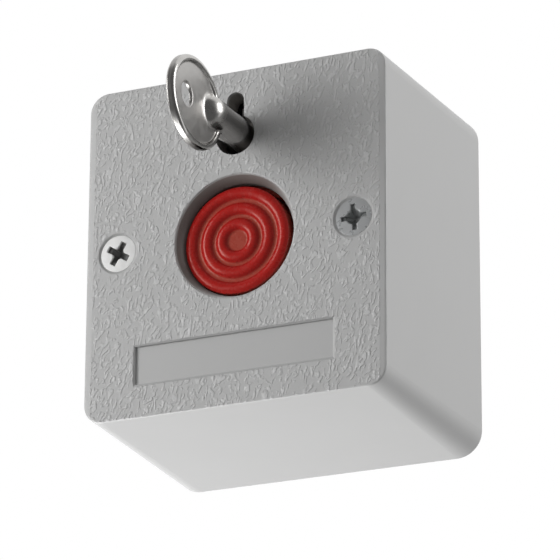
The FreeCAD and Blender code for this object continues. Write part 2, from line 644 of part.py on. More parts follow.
def base_plate():
    """The plate on the wall, with its posts, bosses, slots and cable entry."""
    body = new_body("base_plate")
    width = S.body_width - S.side_wall * 2 - S.rim_clearance * 2
    height = S.body_height - S.side_wall * 2 - S.rim_clearance * 2
    build(body, "BasePlate",
          lambda o: o.rounded_rectangle(as_size(0), as_size(0), width, height, S.base_corner_radius),
          0, S.base_thickness)
    low = S.base_thickness - OVERLAP
    build(body, "CoverPosts", lambda o: [o.circle(x, 0, S.cover_post_radius)
                                         for x in mirrored_pair(COVER_SCREW_X)],
          low, S.cover_post_end)
    build(body, "FramePosts", lambda o: [o.circle(x, z, S.frame_post_radius) for x, z in frame_post_places()],
          low, FRAME_BACK)
    build(body, "BoardBosses", lambda o: [o.circle(x, z, S.board_boss_radius) for x, z in board_screw_places()],
          low, BOARD_BACK)
    for side, sign in (("Left", -1), ("Right", 1)):
        for end, up in (("Low", -1), ("High", 1)):
            gusset(body, f"Gusset{side}{end}", sign, up)
    beyond = S.cover_post_end + BEYOND
    build(body, "CoverPilots", lambda o: [o.circle(x, 0, S.cover_pilot_radius)
                                          for x in mirrored_pair(COVER_SCREW_X)],
          S.cover_post_end - S.cover_pilot_length, beyond, remove=True)
    build(body, "FramePilots",
          lambda o: [o.circle(x, z, S.small_pilot_radius) for x, z in frame_post_places()],
          FRAME_BACK - S.frame_pilot_length, FRAME_BACK + BEYOND, remove=True)
    build(body, "BoardPilots",
          lambda o: [o.circle(x, z, S.small_pilot_radius) for x, z in board_screw_places()],
          BOARD_BACK - S.board_pilot_length, BOARD_BACK + BEYOND, remove=True)
    build(body, "WallSlots", wall_slot_outline, -BEYOND, S.base_thickness + BEYOND, remove=True)
    build(body, "CableEntry", lambda o: o.circle(0, -S.cable_drop, S.cable_radius), -1,
          S.base_thickness + BEYOND, remove=True)
    return body


def frame_post_places():
    """Centres of the four posts under the mechanism frame."""
    return [(x, z) for x in mirrored_pair(FRAME_POST_X) for z in (-S.frame_post_low, FRAME_POST_TOP)]


def board_screw_places():
    """Centres of the four circuit board screws."""
    return [(x, z) for x in mirrored_pair(S.board_screw_x) for z in (-BOARD_SCREW_LOW, S.board_screw_high)]


def wall_slot_outline(outline):
    """Four slots for the wall screws, lengthwise along X."""
    for x in mirrored_pair(WALL_SLOT_X):
        for z in mirrored_pair(WALL_SLOT_Z):
            outline.slot(x, z, S.wall_slot_width / 2, S.wall_slot_length)


def gusset(body, name, sign, up):
    """A triangular web from a cover post down to the plate."""
    inner = (S.cover_post_radius - OVERLAP) * up
    outer = (S.cover_post_radius + S.gusset_reach) * up
    foot = -(S.base_thickness - OVERLAP)
    middle = COVER_SCREW_X * sign
    build(body, name, lambda o: o.polygon([(foot, inner), (foot, outer), (foot - S.gusset_rise, inner)]),
          middle - S.gusset_width / 2, middle + S.gusset_width / 2, plane="YZ_Plane")


def circuit_board():
    """The board that carries the switch and the terminals."""
    body = new_body("circuit_board")
    half = S.board_width / 2
    build(body, "Board", lambda o: o.polygon(corners(-half, -BOARD_BOTTOM, half, S.board_top)),
          BOARD_BACK, BOARD_FRONT)
    cut_from, cut_to = BOARD_BACK - BEYOND, BOARD_FRONT + BEYOND
    notch = S.frame_post_radius + S.post_notch_gap
    for side, sign in (("Left", -1), ("Right", 1)):
        middle = FRAME_POST_X * sign
        edge = (half + BEYOND) * sign
        low_x, high_x = (edge, middle) if sign < 0 else (middle, edge)
        build(body, f"PostNotch{side}", lambda o: o.circle(middle, -S.frame_post_low, notch),
              cut_from, cut_to, remove=True)
        build(body, f"PostNotchMouth{side}",
              lambda o: o.polygon(corners(low_x, -S.frame_post_low - notch, high_x, -S.frame_post_low + notch)),
              cut_from, cut_to, remove=True)
    build(body, "BoardCableHole",
          lambda o: o.circle(0, -S.cable_drop, S.cable_radius + S.board_cable_margin),
          cut_from, cut_to, remove=True)
    build(body, "BoardScrewHoles",
          lambda o: [o.circle(x, z, S.small_clear_radius) for x, z in board_screw_places()],
          cut_from, cut_to, remove=True)
    build(body, "BoardPinHoles", lambda o: [o.circle(x, z, S.pin_hole_radius) for x, z in pin_places()],
          cut_from, cut_to, remove=True)
    return body


def switch_pin_xs():
    """Where the three switch pins stand."""
    return (-S.pin_pitch, as_size(0), S.pin_pitch)


def pole_xs():
    """Where the terminals stand, from left to right."""
    count = int(S.pole_count.value)
    return [S.pole_pitch * (number - (count - 1) / 2) for number in range(count)]


def pin_places():
    """All pin holes of the board."""
    return [(x, as_size(0)) for x in switch_pin_xs()] + [(x, POLE_SCREW_Z) for x in pole_xs()]


def mechanism_frame():
    """The plate over the switch that guides the stem, the rotor and the latch plate."""
    body = new_body("mechanism_frame")
    middle = (FRAME_TOP - S.frame_bottom) / 2
    tall = FRAME_TOP + S.frame_bottom
    build(body, "FramePlate",
          lambda o: o.rounded_rectangle(as_size(0), middle, S.frame_width, tall, S.frame_corner_radius),
          FRAME_BACK, S.frame_front)
    build(body, "FrameRim", lambda o: frame_rim_outline(o, middle, tall), S.frame_front - OVERLAP,
          S.frame_front + S.frame_rim_height)
    build(body, "RimGap",
          lambda o: o.polygon(corners(-S.rim_gap_half, FRAME_TOP - S.frame_rim_width * 2,
                                      S.rim_gap_half, FRAME_TOP + BEYOND)),
          S.frame_front, S.frame_front + S.frame_rim_height + BEYOND, remove=True)
    bore = S.stem_radius + S.running_clearance
    build(body, "StemGuide", lambda o: o.circle(0, 0, bore + S.stem_guide_wall), S.frame_front - OVERLAP,
          S.frame_front + S.stem_guide_height)
    build(body, "GuideRails", guide_rail_outline, LATCH_BACK - S.latch_gap - S.guide_lip_thickness,
          FRAME_BACK + OVERLAP)
    build(body, "GuideLips", guide_lip_outline, LATCH_BACK - S.latch_gap - S.guide_lip_thickness,
          LATCH_BACK - S.latch_gap)
    build(body, "SpringAbutment", abutment_outline, LATCH_BACK - S.latch_gap - S.guide_lip_thickness,
          FRAME_BACK + OVERLAP)
    build(body, "StemBore", lambda o: o.circle(0, 0, bore), FRAME_BACK - BEYOND,
          S.frame_front + S.stem_guide_height + BEYOND, remove=True)
    build(body, "RotorBore",
          lambda o: o.circle(0, S.key_height, S.rotor_journal_radius + S.running_clearance),
          FRAME_BACK - BEYOND, S.frame_front + BEYOND, remove=True)
    build(body, "SpringSeat", spring_seat_outline, S.frame_front - S.spring_seat_depth, S.frame_front + BEYOND,
          remove=True)
    build(body, "FrameScrewHoles",
          lambda o: [o.circle(x, z, S.small_clear_radius) for x, z in frame_post_places()],
          FRAME_BACK - BEYOND, S.frame_front + BEYOND, remove=True)
    half = S.latch_spring_radius + S.latch_spring_wire * 2 + S.latch_gap
    build(body, "SpringPocket",
          lambda o: o.polygon(corners(-half, -S.latch_stop_z, half, -S.latch_bottom)),
          FRAME_BACK - BEYOND, FRAME_BACK + S.spring_pocket_depth, remove=True)
    return body


def frame_rim_outline(outline, middle, tall):
    """A rim along the frame's edge."""
    outline.rounded_rectangle(as_size(0), middle, S.frame_width, tall, S.frame_corner_radius)
    outline.rounded_rectangle(as_size(0), middle, S.frame_width - S.frame_rim_width * 2,
                              tall - S.frame_rim_width * 2, S.frame_corner_radius - S.frame_rim_width / 2)


def guide_rail_outline(outline):
    """Two rails beside the latch plate."""
    inner, outer = S.guide_rail_x, S.guide_rail_x + S.guide_rail_width
    outline.polygon(corners(inner, -S.guide_rail_half, outer, S.guide_rail_half))
    outline.polygon(corners(-outer, -S.guide_rail_half, -inner, S.guide_rail_half))


def guide_lip_outline(outline):
    """The lips of the rails, which hold the latch plate against the frame."""
    inner = S.guide_rail_x - S.guide_lip_reach
    outer = S.guide_rail_x + S.guide_rail_width / 2
    outline.polygon(corners(inner, -S.guide_rail_half, outer, S.guide_rail_half))
    outline.polygon(corners(-outer, -S.guide_rail_half, -inner, S.guide_rail_half))


def abutment_outline(outline):
    """The block that the latch spring presses on."""
    half = S.latch_nose_half
    outline.polygon(corners(-half, -S.frame_bottom, half, -S.latch_stop_z))


def spring_seat_outline(outline):
    """The round groove under the return spring."""
    reach = S.return_spring_wire + S.spring_seat_margin
    outline.circle(0, 0, S.return_spring_radius + reach)
    outline.circle(0, 0, S.return_spring_radius - reach)


def button_cap():
    """The red cap: concentric rings, a skirt with a brim behind the collar, and a hub for the stem."""
    body = new_body("button_cap")
    skirt_inner = S.cap_radius - S.cap_skirt_wall
    turn(body, "CapShell", lambda o: o.polygon([
        (0, -CAP_GROOVE), (S.cap_radius - S.cap_ring_minor / 2, -CAP_GROOVE),
        (S.cap_radius, -CAP_GROOVE + S.cap_ring_minor / 2), (S.cap_radius, -BRIM_FRONT),
        (S.cap_brim_radius, -BRIM_FRONT), (S.cap_brim_radius, -BRIM_BACK), (skirt_inner, -BRIM_BACK),
        (skirt_inner, -CAP_ROOF), (0, -CAP_ROOF)]))
    build(body, "CapHub", lambda o: o.circle(0, 0, S.cap_hub_radius), CAP_ROOF - S.cap_hub_length,
          CAP_ROOF + OVERLAP)
    build(body, "CapHubBore", lambda o: o.circle(0, 0, S.stem_radius), CAP_ROOF - S.cap_hub_length - BEYOND,
          CAP_ROOF - S.stem_seat_gap, remove=True)
    for number in (0, 1, 2):
        ring(body, f"CapRing{number + 1}", S.cap_first_ring + S.cap_ring_pitch * number)
    return body


def ring(body, name, radius):
    """One raised ring of the cap, round in section."""
    torus = body.newObject("PartDesign::AdditiveTorus", name)
    bind(torus, "Radius1", radius)
    bind(torus, "Radius2", S.cap_ring_minor)
    support = [item for item in body.Origin.OriginFeatures if item.Role == "XZ_Plane"]
    torus.AttachmentSupport = [(support[0], "")]
    torus.MapMode = "FlatFace"
    bind(torus, "AttachmentOffset.Base.z", CAP_CREST - S.cap_ring_minor)
    doc.recompute()


def plunger_stem():
    """The stem behind the cap, with its latch groove, foot and nose."""
    body = new_body("plunger_stem")
    groove = S.stem_radius - S.stem_groove_depth
    groove_back = LATCH_BACK - S.stem_groove_play + S.button_travel
    groove_front = LATCH_FRONT + S.stem_groove_play + S.button_travel
    lead = S.stem_groove_depth / 4
    top = CAP_ROOF - S.stem_seat_gap
    turn(body, "Stem", lambda o: o.polygon([
        (0, -NOSE_END), (S.stem_nose_flat, -NOSE_END),
        (S.stem_nose_radius, -NOSE_END - (S.stem_nose_radius - S.stem_nose_flat) / 2),
        (S.stem_nose_radius, -FOOT_BACK), (S.stem_foot_radius, -FOOT_BACK),
        (S.stem_foot_radius, -FOOT_FRONT), (S.stem_radius, -FOOT_FRONT), (S.stem_radius, -groove_back),
        (groove, -groove_back), (groove, -groove_front), (S.stem_radius, -groove_front),
        (S.stem_radius, -top + lead), (S.stem_radius - lead, -top), (0, -top)]))
    return body


def coil(name, plane, offset, radius, wire, low, high, turns):
    """A coil spring whose axis is the sketch's upright axis."""
    body = new_body(name)
    outline = Outline(body, f"{name}Wire", plane, offset)
    outline.circle(radius, low + wire, wire)
    helix = body.newObject("PartDesign::AdditiveHelix", f"{name}Coil")
    helix.Profile = outline.sketch
    helix.ReferenceAxis = (outline.sketch, ["V_Axis"])
    helix.Mode = "height-turns-angle"
    bind(helix, "Height", high - low - wire * 2)
    bind(helix, "Turns", turns)
    doc.recompute()
    return body


def return_spring():
    """The spring that lifts the cap."""
    high = -(S.frame_front - S.spring_seat_depth + S.spring_end_gap)
    low = -(CAP_ROOF - S.spring_end_gap)
    return coil("return_spring", "XY_Plane", 0, S.return_spring_radius, S.return_spring_wire, low, high,
                S.return_spring_turns)


def latch_spring():
    """The spring that pushes the latch plate up into the stem's groove."""
    low = -S.latch_stop_z + S.spring_end_gap
    high = -S.latch_bottom - S.spring_end_gap
    middle = LATCH_BACK + S.latch_thickness / 2
    return coil("latch_spring", "XZ_Plane", middle, S.latch_spring_radius, S.latch_spring_wire, low, high,
                S.latch_spring_turns)


def latch_plate():
    """The sliding plate that holds the stem down, with its window, nose and spring tongue."""
    body = new_body("latch_plate")
    side, nose = S.latch_half_width, S.latch_nose_half
    build(body, "Latch", lambda o: o.polygon([
        (-side, -S.latch_bottom), (side, -S.latch_bottom), (side, S.latch_shoulder), (nose, S.latch_top),
        (-nose, S.latch_top), (-side, S.latch_shoulder)]), LATCH_BACK, LATCH_FRONT)
    tongue = S.latch_tongue_width / 2
    build(body, "LatchTongue",
          lambda o: o.polygon(corners(-tongue, -S.latch_bottom - S.latch_tongue_length,
                                      tongue, -S.latch_bottom + OVERLAP)), LATCH_BACK, LATCH_FRONT)
    catch = S.stem_radius + S.latch_window_clearance
    reach = catch * 2 + S.latch_travel
    build(body, "LatchWindow",
          lambda o: o.slot(as_size(0), S.latch_travel / 2, S.latch_window_radius, reach, upright=True),
          LATCH_BACK - BEYOND, LATCH_FRONT + BEYOND, remove=True)
    return body


def key_rotor():
    """The rotor that the key turns: a socket with a bit slot, a centre pin, a journal and a square tail."""
    body = new_body("key_rotor")
    head_back = S.frame_front + S.washer_thickness + S.latch_gap / 2
    build(body, "RotorJournal", lambda o: o.circle(0, S.key_height, S.rotor_journal_radius),
          FRAME_BACK, head_back + OVERLAP)
    build(body, "RotorHead", lambda o: o.circle(0, S.key_height, S.rotor_head_radius),
          head_back, S.rotor_head_end)
    ear = S.rotor_ear_width / 2
    build(body, "RotorEar",
          lambda o: o.polygon(corners(-ear, S.key_height, ear, S.key_height + ROTOR_EAR_REACH)),
          head_back, S.rotor_head_end)
    tail = S.rotor_tail_width / 2
    build(body, "RotorTail",
          lambda o: o.polygon(corners(-tail, S.key_height - tail, tail, S.key_height + tail)),
          LATCH_BACK, FRAME_BACK + OVERLAP)
    build(body, "RotorSocket",
          lambda o: o.circle(0, S.key_height, S.key_barrel_radius + S.key_socket_clearance),
          S.rotor_floor, S.rotor_head_end + BEYOND, remove=True)
    slot = S.key_bit_width / 2 + S.key_socket_clearance
    slot_top = S.key_height + KEY_BIT_REACH + S.key_socket_clearance * 2
    build(body, "RotorBitSlot", lambda o: o.polygon(corners(-slot, S.key_height, slot, slot_top)),
          S.rotor_floor, S.rotor_head_end + BEYOND, remove=True)
    build(body, "RotorPin", lambda o: o.circle(0, S.key_height, S.rotor_pin_radius),
          S.rotor_floor - OVERLAP, S.rotor_pin_end)
    build(body, "RotorPilot", lambda o: o.circle(0, S.key_height, S.small_pilot_radius),
          LATCH_BACK - BEYOND, LATCH_BACK + S.cam_screw_length + S.latch_gap, remove=True)
    return body


def rotor_washer():
    """The washer between the rotor's head and the frame."""
    body = new_body("rotor_washer")

    def draw(outline):
        outline.circle(0, S.key_height, S.washer_outer_radius)
        outline.circle(0, S.key_height, S.rotor_journal_radius + S.running_clearance * 2)

    build(body, "Washer", draw, S.frame_front, S.frame_front + S.washer_thickness)
    return body


def release_cam():
    """The cam on the rotor's tail, whose lobe pushes the latch plate down after a quarter turn."""
    body = new_body("release_cam")
    build(body, "CamDisc", lambda o: o.circle(0, S.key_height, S.cam_radius), LATCH_BACK, LATCH_FRONT)
    length = S.cam_lobe_offset + S.cam_lobe_radius * 2
    build(body, "CamLobe",
          lambda o: o.slot(S.cam_lobe_offset / 2, S.key_height, S.cam_lobe_radius, length),
          LATCH_BACK, LATCH_FRONT)
    half = S.rotor_tail_width / 2
    build(body, "CamSquare",
          lambda o: o.polygon(corners(-half, S.key_height - half, half, S.key_height + half)),
          LATCH_BACK - BEYOND, LATCH_FRONT + BEYOND, remove=True)
    return body


def oval(name, half_length, half_height, thickness, x):
    """A flat oval upright in the YZ plane, long along the key."""
    edge = doc.addObject("Part::Ellipse", f"{name}Edge")
    bind(edge, "MajorRadius", half_length)
    bind(edge, "MinorRadius", half_height)
    set_place(edge, x, BOW_DEPTH, S.key_height)
    rotation = FreeCAD.Rotation(FreeCAD.Vector(0, 1, 0), FreeCAD.Vector(0, 0, 1), FreeCAD.Vector(1, 0, 0))
    edge.Placement = FreeCAD.Placement(edge.Placement.Base, rotation)
    plate = doc.addObject("Part::Extrusion", name)
    plate.Base = edge
    plate.DirMode = "Custom"
    plate.Dir = FreeCAD.Vector(1, 0, 0)
    plate.Solid = True
    bind(plate, "LengthFwd", thickness)
    doc.recompute()
    return plate


def rod(name, radius, start, end, x, z):
    """A round bar along the depth."""
    bar = doc.addObject("Part::Cylinder", name)
    bind(bar, "Radius", radius)
    bind(bar, "Height", as_size(end) - start)
    set_place(bar, x, start, z, (1, 0, 0), 90)
    return bar


def block(name, low_x, start, low_z, high_x, end, high_z):
    """An upright box between two depths."""
    box = doc.addObject("Part::Box", name)
    bind(box, "Length", as_size(high_x) - low_x)
    bind(box, "Width", as_size(end) - start)
    bind(box, "Height", as_size(high_z) - low_z)
    set_place(box, low_x, end, low_z)
    return box


def join(name, shapes):
    """The union of several solids."""
    fusion = doc.addObject("Part::MultiFuse", name)
    fusion.Shapes = shapes
    doc.recompute()
    return fusion


def take_away(name, base, tools):
    """A solid less several others."""
    cut = doc.addObject("Part::Cut", name)
    cut.Base = base
    cut.Tool = tools[0] if len(tools) == 1 else join(f"{name}Tools", tools)
    doc.recompute()
    return cut


def reset_key():
    """The key: an oval bow with a raised rim and a ring hole, a hollow barrel with a domed end, and a bit."""
    half = S.bow_thickness / 2
    disc = oval("BowDisc", S.bow_half_length, S.bow_half_height, S.bow_thickness, -half)
    rim = doc.addObject("Part::Fillet", "BowRim")
    rim.Base = disc
    rim.Edges = [(number, S.bow_edge_radius.value, S.bow_edge_radius.value)
                 for number, edge in enumerate(disc.Shape.Edges, start=1) if len(edge.Vertexes) == 1]
    field_length = S.bow_half_length - S.bow_rim_width
    field_height = S.bow_half_height - S.bow_rim_width
    near = oval("BowFieldNear", field_length, field_height, S.bow_recess + BEYOND, half - S.bow_recess)
    far = oval("BowFieldFar", field_length, field_height, S.bow_recess + BEYOND, -half - BEYOND)
    hole = doc.addObject("Part::Cylinder", "BowRingHole")
    bind(hole, "Radius", S.ring_hole_radius)
    bind(hole, "Height", S.bow_thickness + BEYOND * 2)
    set_place(hole, -half - BEYOND, BOW_DEPTH + S.ring_hole_offset, S.key_height, (0, 1, 0), 90)
    bow = take_away("Bow", rim, [near, far, hole])
    dome_depth = S.body_depth + S.key_dome_reach - S.key_barrel_radius
    barrel = rod("KeyBarrel", S.key_barrel_radius, S.key_barrel_start, dome_depth, 0, S.key_height)
    dome = doc.addObject("Part::Sphere", "KeyDome")
    bind(dome, "Radius", S.key_barrel_radius)
    set_place(dome, 0, dome_depth, S.key_height, (1, 0, 0), 90)
    bit_start = S.key_barrel_start + S.key_bit_setback
    side = S.key_bit_width / 2
    bit = block("KeyBit", -side, bit_start, S.key_height + S.key_bore_radius + OVERLAP,
                side, bit_start + S.key_bit_length, S.key_height + KEY_BIT_REACH)
    notch_middle = bit_start + S.key_bit_length / 2
    notch = block("KeyNotch", -side - BEYOND, notch_middle - S.key_notch / 2,
                  S.key_height + KEY_BIT_REACH - S.key_notch, side + BEYOND, notch_middle + S.key_notch / 2,
                  S.key_height + KEY_BIT_REACH + BEYOND)
    bore = rod("KeyBore", S.key_bore_radius, S.key_barrel_start - BEYOND,
               S.key_barrel_start + S.key_bore_length, 0, S.key_height)
    whole = join("KeyBlank", [bow, barrel, dome, bit])
    key = take_away("reset_key", whole, [bore, notch])
    key.Label = "reset_key"
    return key


def screw(name, head_radius, head_height, shank_radius, length, recess, countersunk=False, slotted=False):
    """A screw along the depth with its head's front at the origin, and a cross recess or one slot."""
    body = new_body(name)
    seat = as_size(0)
    cone = head_radius - shank_radius
    if countersunk:
        under = head_height + cone
        head = [(head_radius, seat), (head_radius, head_height)]
    else:
        under = head_height
        crown = head_height / 3
        head = [(head_radius - crown, seat), (head_radius, crown), (head_radius, head_height)]
    point = shank_radius / 2
    tip = length + head_height
    turn(body, f"{name}Turned", lambda o: o.polygon(
        [(as_size(0), seat)] + head + [(shank_radius, under), (shank_radius, tip - shank_radius),
                                       (point, tip), (as_size(0), tip)]))
    width, reach, depth = recess
    half = width / 2
    build(body, f"{name}RecessAcross", lambda o: o.polygon(corners(-reach, -half, reach, half)),
          -depth, BEYOND, remove=True)
    if not slotted:
        build(body, f"{name}RecessUpright", lambda o: o.polygon(corners(-half, -reach, half, reach)),
              -depth, BEYOND, remove=True)
    return body


def cover_screw(name, x, turned):
    """A countersunk screw through the cover into its base post."""
    body = screw(name, S.cover_screw_head_radius, S.cover_screw_head_rim, S.cover_screw_radius,
                 S.cover_screw_length, (S.cross_width, S.cross_reach, S.cross_depth), countersunk=True)
    set_place(body, x, S.body_depth - S.cover_screw_sink, 0, (0, 1, 0), turned)
    return body


def small_screw(name, length):
    """A small pan head screw."""
    recess = (S.small_cross_width, S.small_cross_reach, S.small_cross_depth)
    return screw(name, S.small_head_radius, S.small_head_height, S.small_screw_radius, length, recess)


def frame_screws():
    """Four screws that hold the mechanism frame on its posts."""
    master = small_screw("FrameScrew", S.frame_screw_length)
    depth = S.frame_front + S.small_head_height
    return group("frame_screws", master, [(x, depth, z, (1, 0, 0), 0) for x, z in frame_post_places()])


def board_screws():
    """Four screws that hold the circuit board on its bosses."""
    master = small_screw("BoardScrew", S.board_screw_length)
    depth = BOARD_FRONT + S.small_head_height
    return group("board_screws", master, [(x, depth, z, (1, 0, 0), 0) for x, z in board_screw_places()])


def cam_screw():
    """The screw that holds the cam on the rotor's tail, its head towards the wall."""
    body = small_screw("cam_screw", S.cam_screw_length)
    set_place(body, 0, LATCH_BACK - S.small_head_height, S.key_height, (1, 0, 0), 180)
    return body


def switch_body():
    """The microswitch body, with ears for its lever and a pocket for its plunger."""
    body = new_body("switch_body")
    half_length, half_width = S.switch_length / 2, S.switch_width / 2
    build(body, "SwitchCase",
          lambda o: o.polygon(corners(-half_length, -half_width, half_length, half_width)),
          BOARD_FRONT, SWITCH_TOP)
    ear = S.lever_ear_radius
    inner = half_width - S.lever_ear_thickness

    def draw_ears(outline):
        for low, high in ((-half_width, -inner), (inner, half_width)):
            outline.polygon(corners(-S.lever_pivot_x - ear, low, -S.lever_pivot_x + ear, high))

    build(body, "SwitchEars", draw_ears, SWITCH_TOP - OVERLAP, PIVOT_DEPTH + ear)
    build(body, "TrunnionBore",
          lambda o: o.circle(-S.lever_pivot_x, -PIVOT_DEPTH, S.lever_trunnion_radius + S.running_clearance),
          -half_width - BEYOND, half_width + BEYOND, plane="XY_Plane", remove=True)
    pocket_x = S.nub_length / 2 + S.nub_clearance
    pocket_z = S.nub_width / 2 + S.nub_clearance
    pocket_floor = SWITCH_TOP - S.nub_travel - S.nub_rise
    build(body, "PlungerPocket",
          lambda o: o.polygon(corners(-S.nub_x - pocket_x, -pocket_z, -S.nub_x + pocket_x, pocket_z)),
          pocket_floor, SWITCH_TOP + BEYOND, remove=True)
    build(body, "SwitchHoles",
          lambda o: [o.circle(x, -BOARD_FRONT - S.switch_hole_rise, S.switch_hole_radius)
                     for x in mirrored_pair(S.switch_hole_spread)],
          -half_width - BEYOND, half_width + BEYOND, plane="XY_Plane", remove=True)
    return body


def switch_lever():
    """The sheet-metal lever that the stem's nose presses."""
    body = new_body("switch_lever")
    half = S.switch_width / 2
    inner = half - S.lever_ear_thickness - S.lever_ear_gap
    build(body, "LeverTrunnion",
          lambda o: o.circle(-S.lever_pivot_x, -PIVOT_DEPTH, S.lever_trunnion_radius),
          -half, half, plane="XY_Plane")
    run = S.lever_pivot_x
    rise = NOSE_END - S.lever_gap - S.lever_thickness / 2 - PIVOT_DEPTH
    end_rise = rise * S.lever_length / run
    end_x = S.lever_length - S.lever_pivot_x
    lower = S.lever_thickness / 2
    build(body, "LeverBlade", lambda o: o.polygon([
        (-S.lever_pivot_x, -PIVOT_DEPTH + lower), (end_x, -PIVOT_DEPTH - end_rise + lower),
        (end_x, -PIVOT_DEPTH - end_rise - lower), (-S.lever_pivot_x, -PIVOT_DEPTH - lower)]),
        -inner, inner, plane="XY_Plane")
    return body


def switch_plunger():
    """The small plunger under the lever."""
    body = new_body("switch_plunger")
    half_x, half_z = S.nub_length / 2, S.nub_width / 2
    build(body, "Nub", lambda o: o.polygon(corners(-S.nub_x - half_x, -half_z, -S.nub_x + half_x, half_z)),
          SWITCH_TOP - S.nub_rise + S.nub_clearance, SWITCH_TOP + S.nub_rise)
    soften(body, "NubEdge", lies_at(SWITCH_TOP + S.nub_rise), S.nub_rise / 3)
    return body


def switch_terminals():
    """The three pins of the microswitch."""
    half_x, half_z = S.pin_width / 2, S.pin_thickness / 2
    pins = []
    for number, x in enumerate(switch_pin_xs(), start=1):
        pin = block(f"SwitchPin{number}", x - half_x, S.pin_end, -half_z, x + half_x, BOARD_FRONT, half_z)
        pins.append(pin)
    compound = doc.addObject("Part::Compound", "switch_terminals")
    compound.Label = "switch_terminals"
    compound.Links = pins
    doc.recompute()
    return compound


def terminal_block():
    """The block over the terminals: wire openings towards the cable entry, screws towards the front."""
    body = new_body("terminal_block")
    half = S.block_width / 2
    bottom = BLOCK_TOP + S.block_length
    build(body, "Block", lambda o: o.polygon(corners(-half, -bottom, half, -BLOCK_TOP)),
          BOARD_FRONT, BLOCK_FRONT)
    soften(body, "BlockEdge",
           lambda edge: lies_at(BLOCK_FRONT)(edge) and abs(edge.CenterOfMass.z + bottom.value) < 1e-4,
           S.block_chamfer, "PartDesign::Chamfer")
    opening = S.pole_opening / 2
    build(body, "WireOpenings",
          lambda o: [o.polygon(corners(x - opening, -POLE_ROOF, x + opening, -POLE_FLOOR)) for x in pole_xs()],
          -bottom + S.block_back_wall, -BLOCK_TOP + BEYOND, plane="XY_Plane", remove=True)
    build(body, "ScrewShafts", lambda o: [o.circle(x, POLE_SCREW_Z, S.shaft_radius) for x in pole_xs()],
          POLE_ROOF - OVERLAP, BLOCK_FRONT + BEYOND, remove=True)
    build(body, "TailHoles", lambda o: [o.circle(x, POLE_SCREW_Z, S.pin_hole_radius) for x in pole_xs()],
          BOARD_FRONT - BEYOND, POLE_FLOOR + OVERLAP, remove=True)
    return body


def clamp_master():
    """One clamp, with the middle of its floor at the origin and its tail towards the wall."""
    height = POLE_ROOF - POLE_FLOOR - S.clamp_clearance * 2
    half = S.pole_opening / 2 - S.clamp_clearance
    reach = S.clamp_length / 2
    body = new_body("Clamp")
    build(body, "ClampBox", lambda o: o.polygon(corners(-half, -reach, half, reach)), 0, height)
    inner = half - S.clamp_wall
    build(body, "ClampWindow",
          lambda o: o.polygon(corners(-inner, -height + S.clamp_wall * 2, inner, -S.clamp_wall)),
          -reach - BEYOND, reach + BEYOND, plane="XY_Plane", remove=True)
    build(body, "ClampThread", lambda o: o.circle(0, 0, S.terminal_screw_radius + S.running_clearance),
          height - S.clamp_wall * 2 - BEYOND, height + BEYOND, remove=True)
    tail = POLE_FLOOR + S.clamp_clearance - S.pin_end
    build(body, "ClampTail", lambda o: o.circle(0, 0, S.clamp_tail_radius), -tail, OVERLAP)
    return body


def terminal_clamps():
    """The metal clamps inside the terminal block."""
    depth = POLE_FLOOR + S.clamp_clearance
    places = [(x, depth, POLE_SCREW_Z, (1, 0, 0), 0) for x in pole_xs()]
    return group("terminal_clamps", clamp_master(), places)


def terminal_screws():
    """The slotted screws of the terminals."""
    recess = (S.small_cross_width, S.terminal_head_radius + OVERLAP, S.small_cross_depth)
    master = screw("terminal_screw", S.terminal_head_radius, S.terminal_head_height,
                   S.terminal_screw_radius, S.terminal_screw_length, recess, slotted=True)
    depth = POLE_ROOF - S.clamp_clearance + S.terminal_seat_gap + S.terminal_head_height
    places = [(x, depth, POLE_SCREW_Z, (1, 0, 0), 0) for x in pole_xs()]
    return group("terminal_screws", master, places)


SUB_PARTS = [
    cover(), base_plate(), cover_screw("cover_screw_left", -COVER_SCREW_X, LEFT_SCREW_TURN),
    cover_screw("cover_screw_right", COVER_SCREW_X, RIGHT_SCREW_TURN), mechanism_frame(), frame_screws(),
    circuit_board(), board_screws(), switch_body(), switch_terminals(), switch_lever(), switch_plunger(),
    terminal_block(), terminal_clamps(), terminal_screws(), return_spring(), latch_spring(), button_cap(),
    plunger_stem(), latch_plate(), key_rotor(), rotor_washer(), release_cam(), cam_screw(), reset_key(),
]

doc.recompute()
failed = [item.Name for item in doc.Objects if set(item.State) & {"Invalid", "Error"}]
if failed:
    raise RuntimeError(f"these objects failed: {failed}")
for sub_part in SUB_PARTS:
    if sub_part.Shape.isNull() or not sub_part.Shape.isValid():
        raise RuntimeError(f"{sub_part.Label} has no valid shape")

os.makedirs("parts", exist_ok=True)
for sub_part in SUB_PARTS:
    sub_part.Shape.exportStep(f"parts/{sub_part.Label}.step")
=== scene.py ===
"""Looks of the panic button: materials, finer pieces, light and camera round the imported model."""

import math

import bmesh
import bpy
import numpy as np
from mathutils import Matrix, Vector


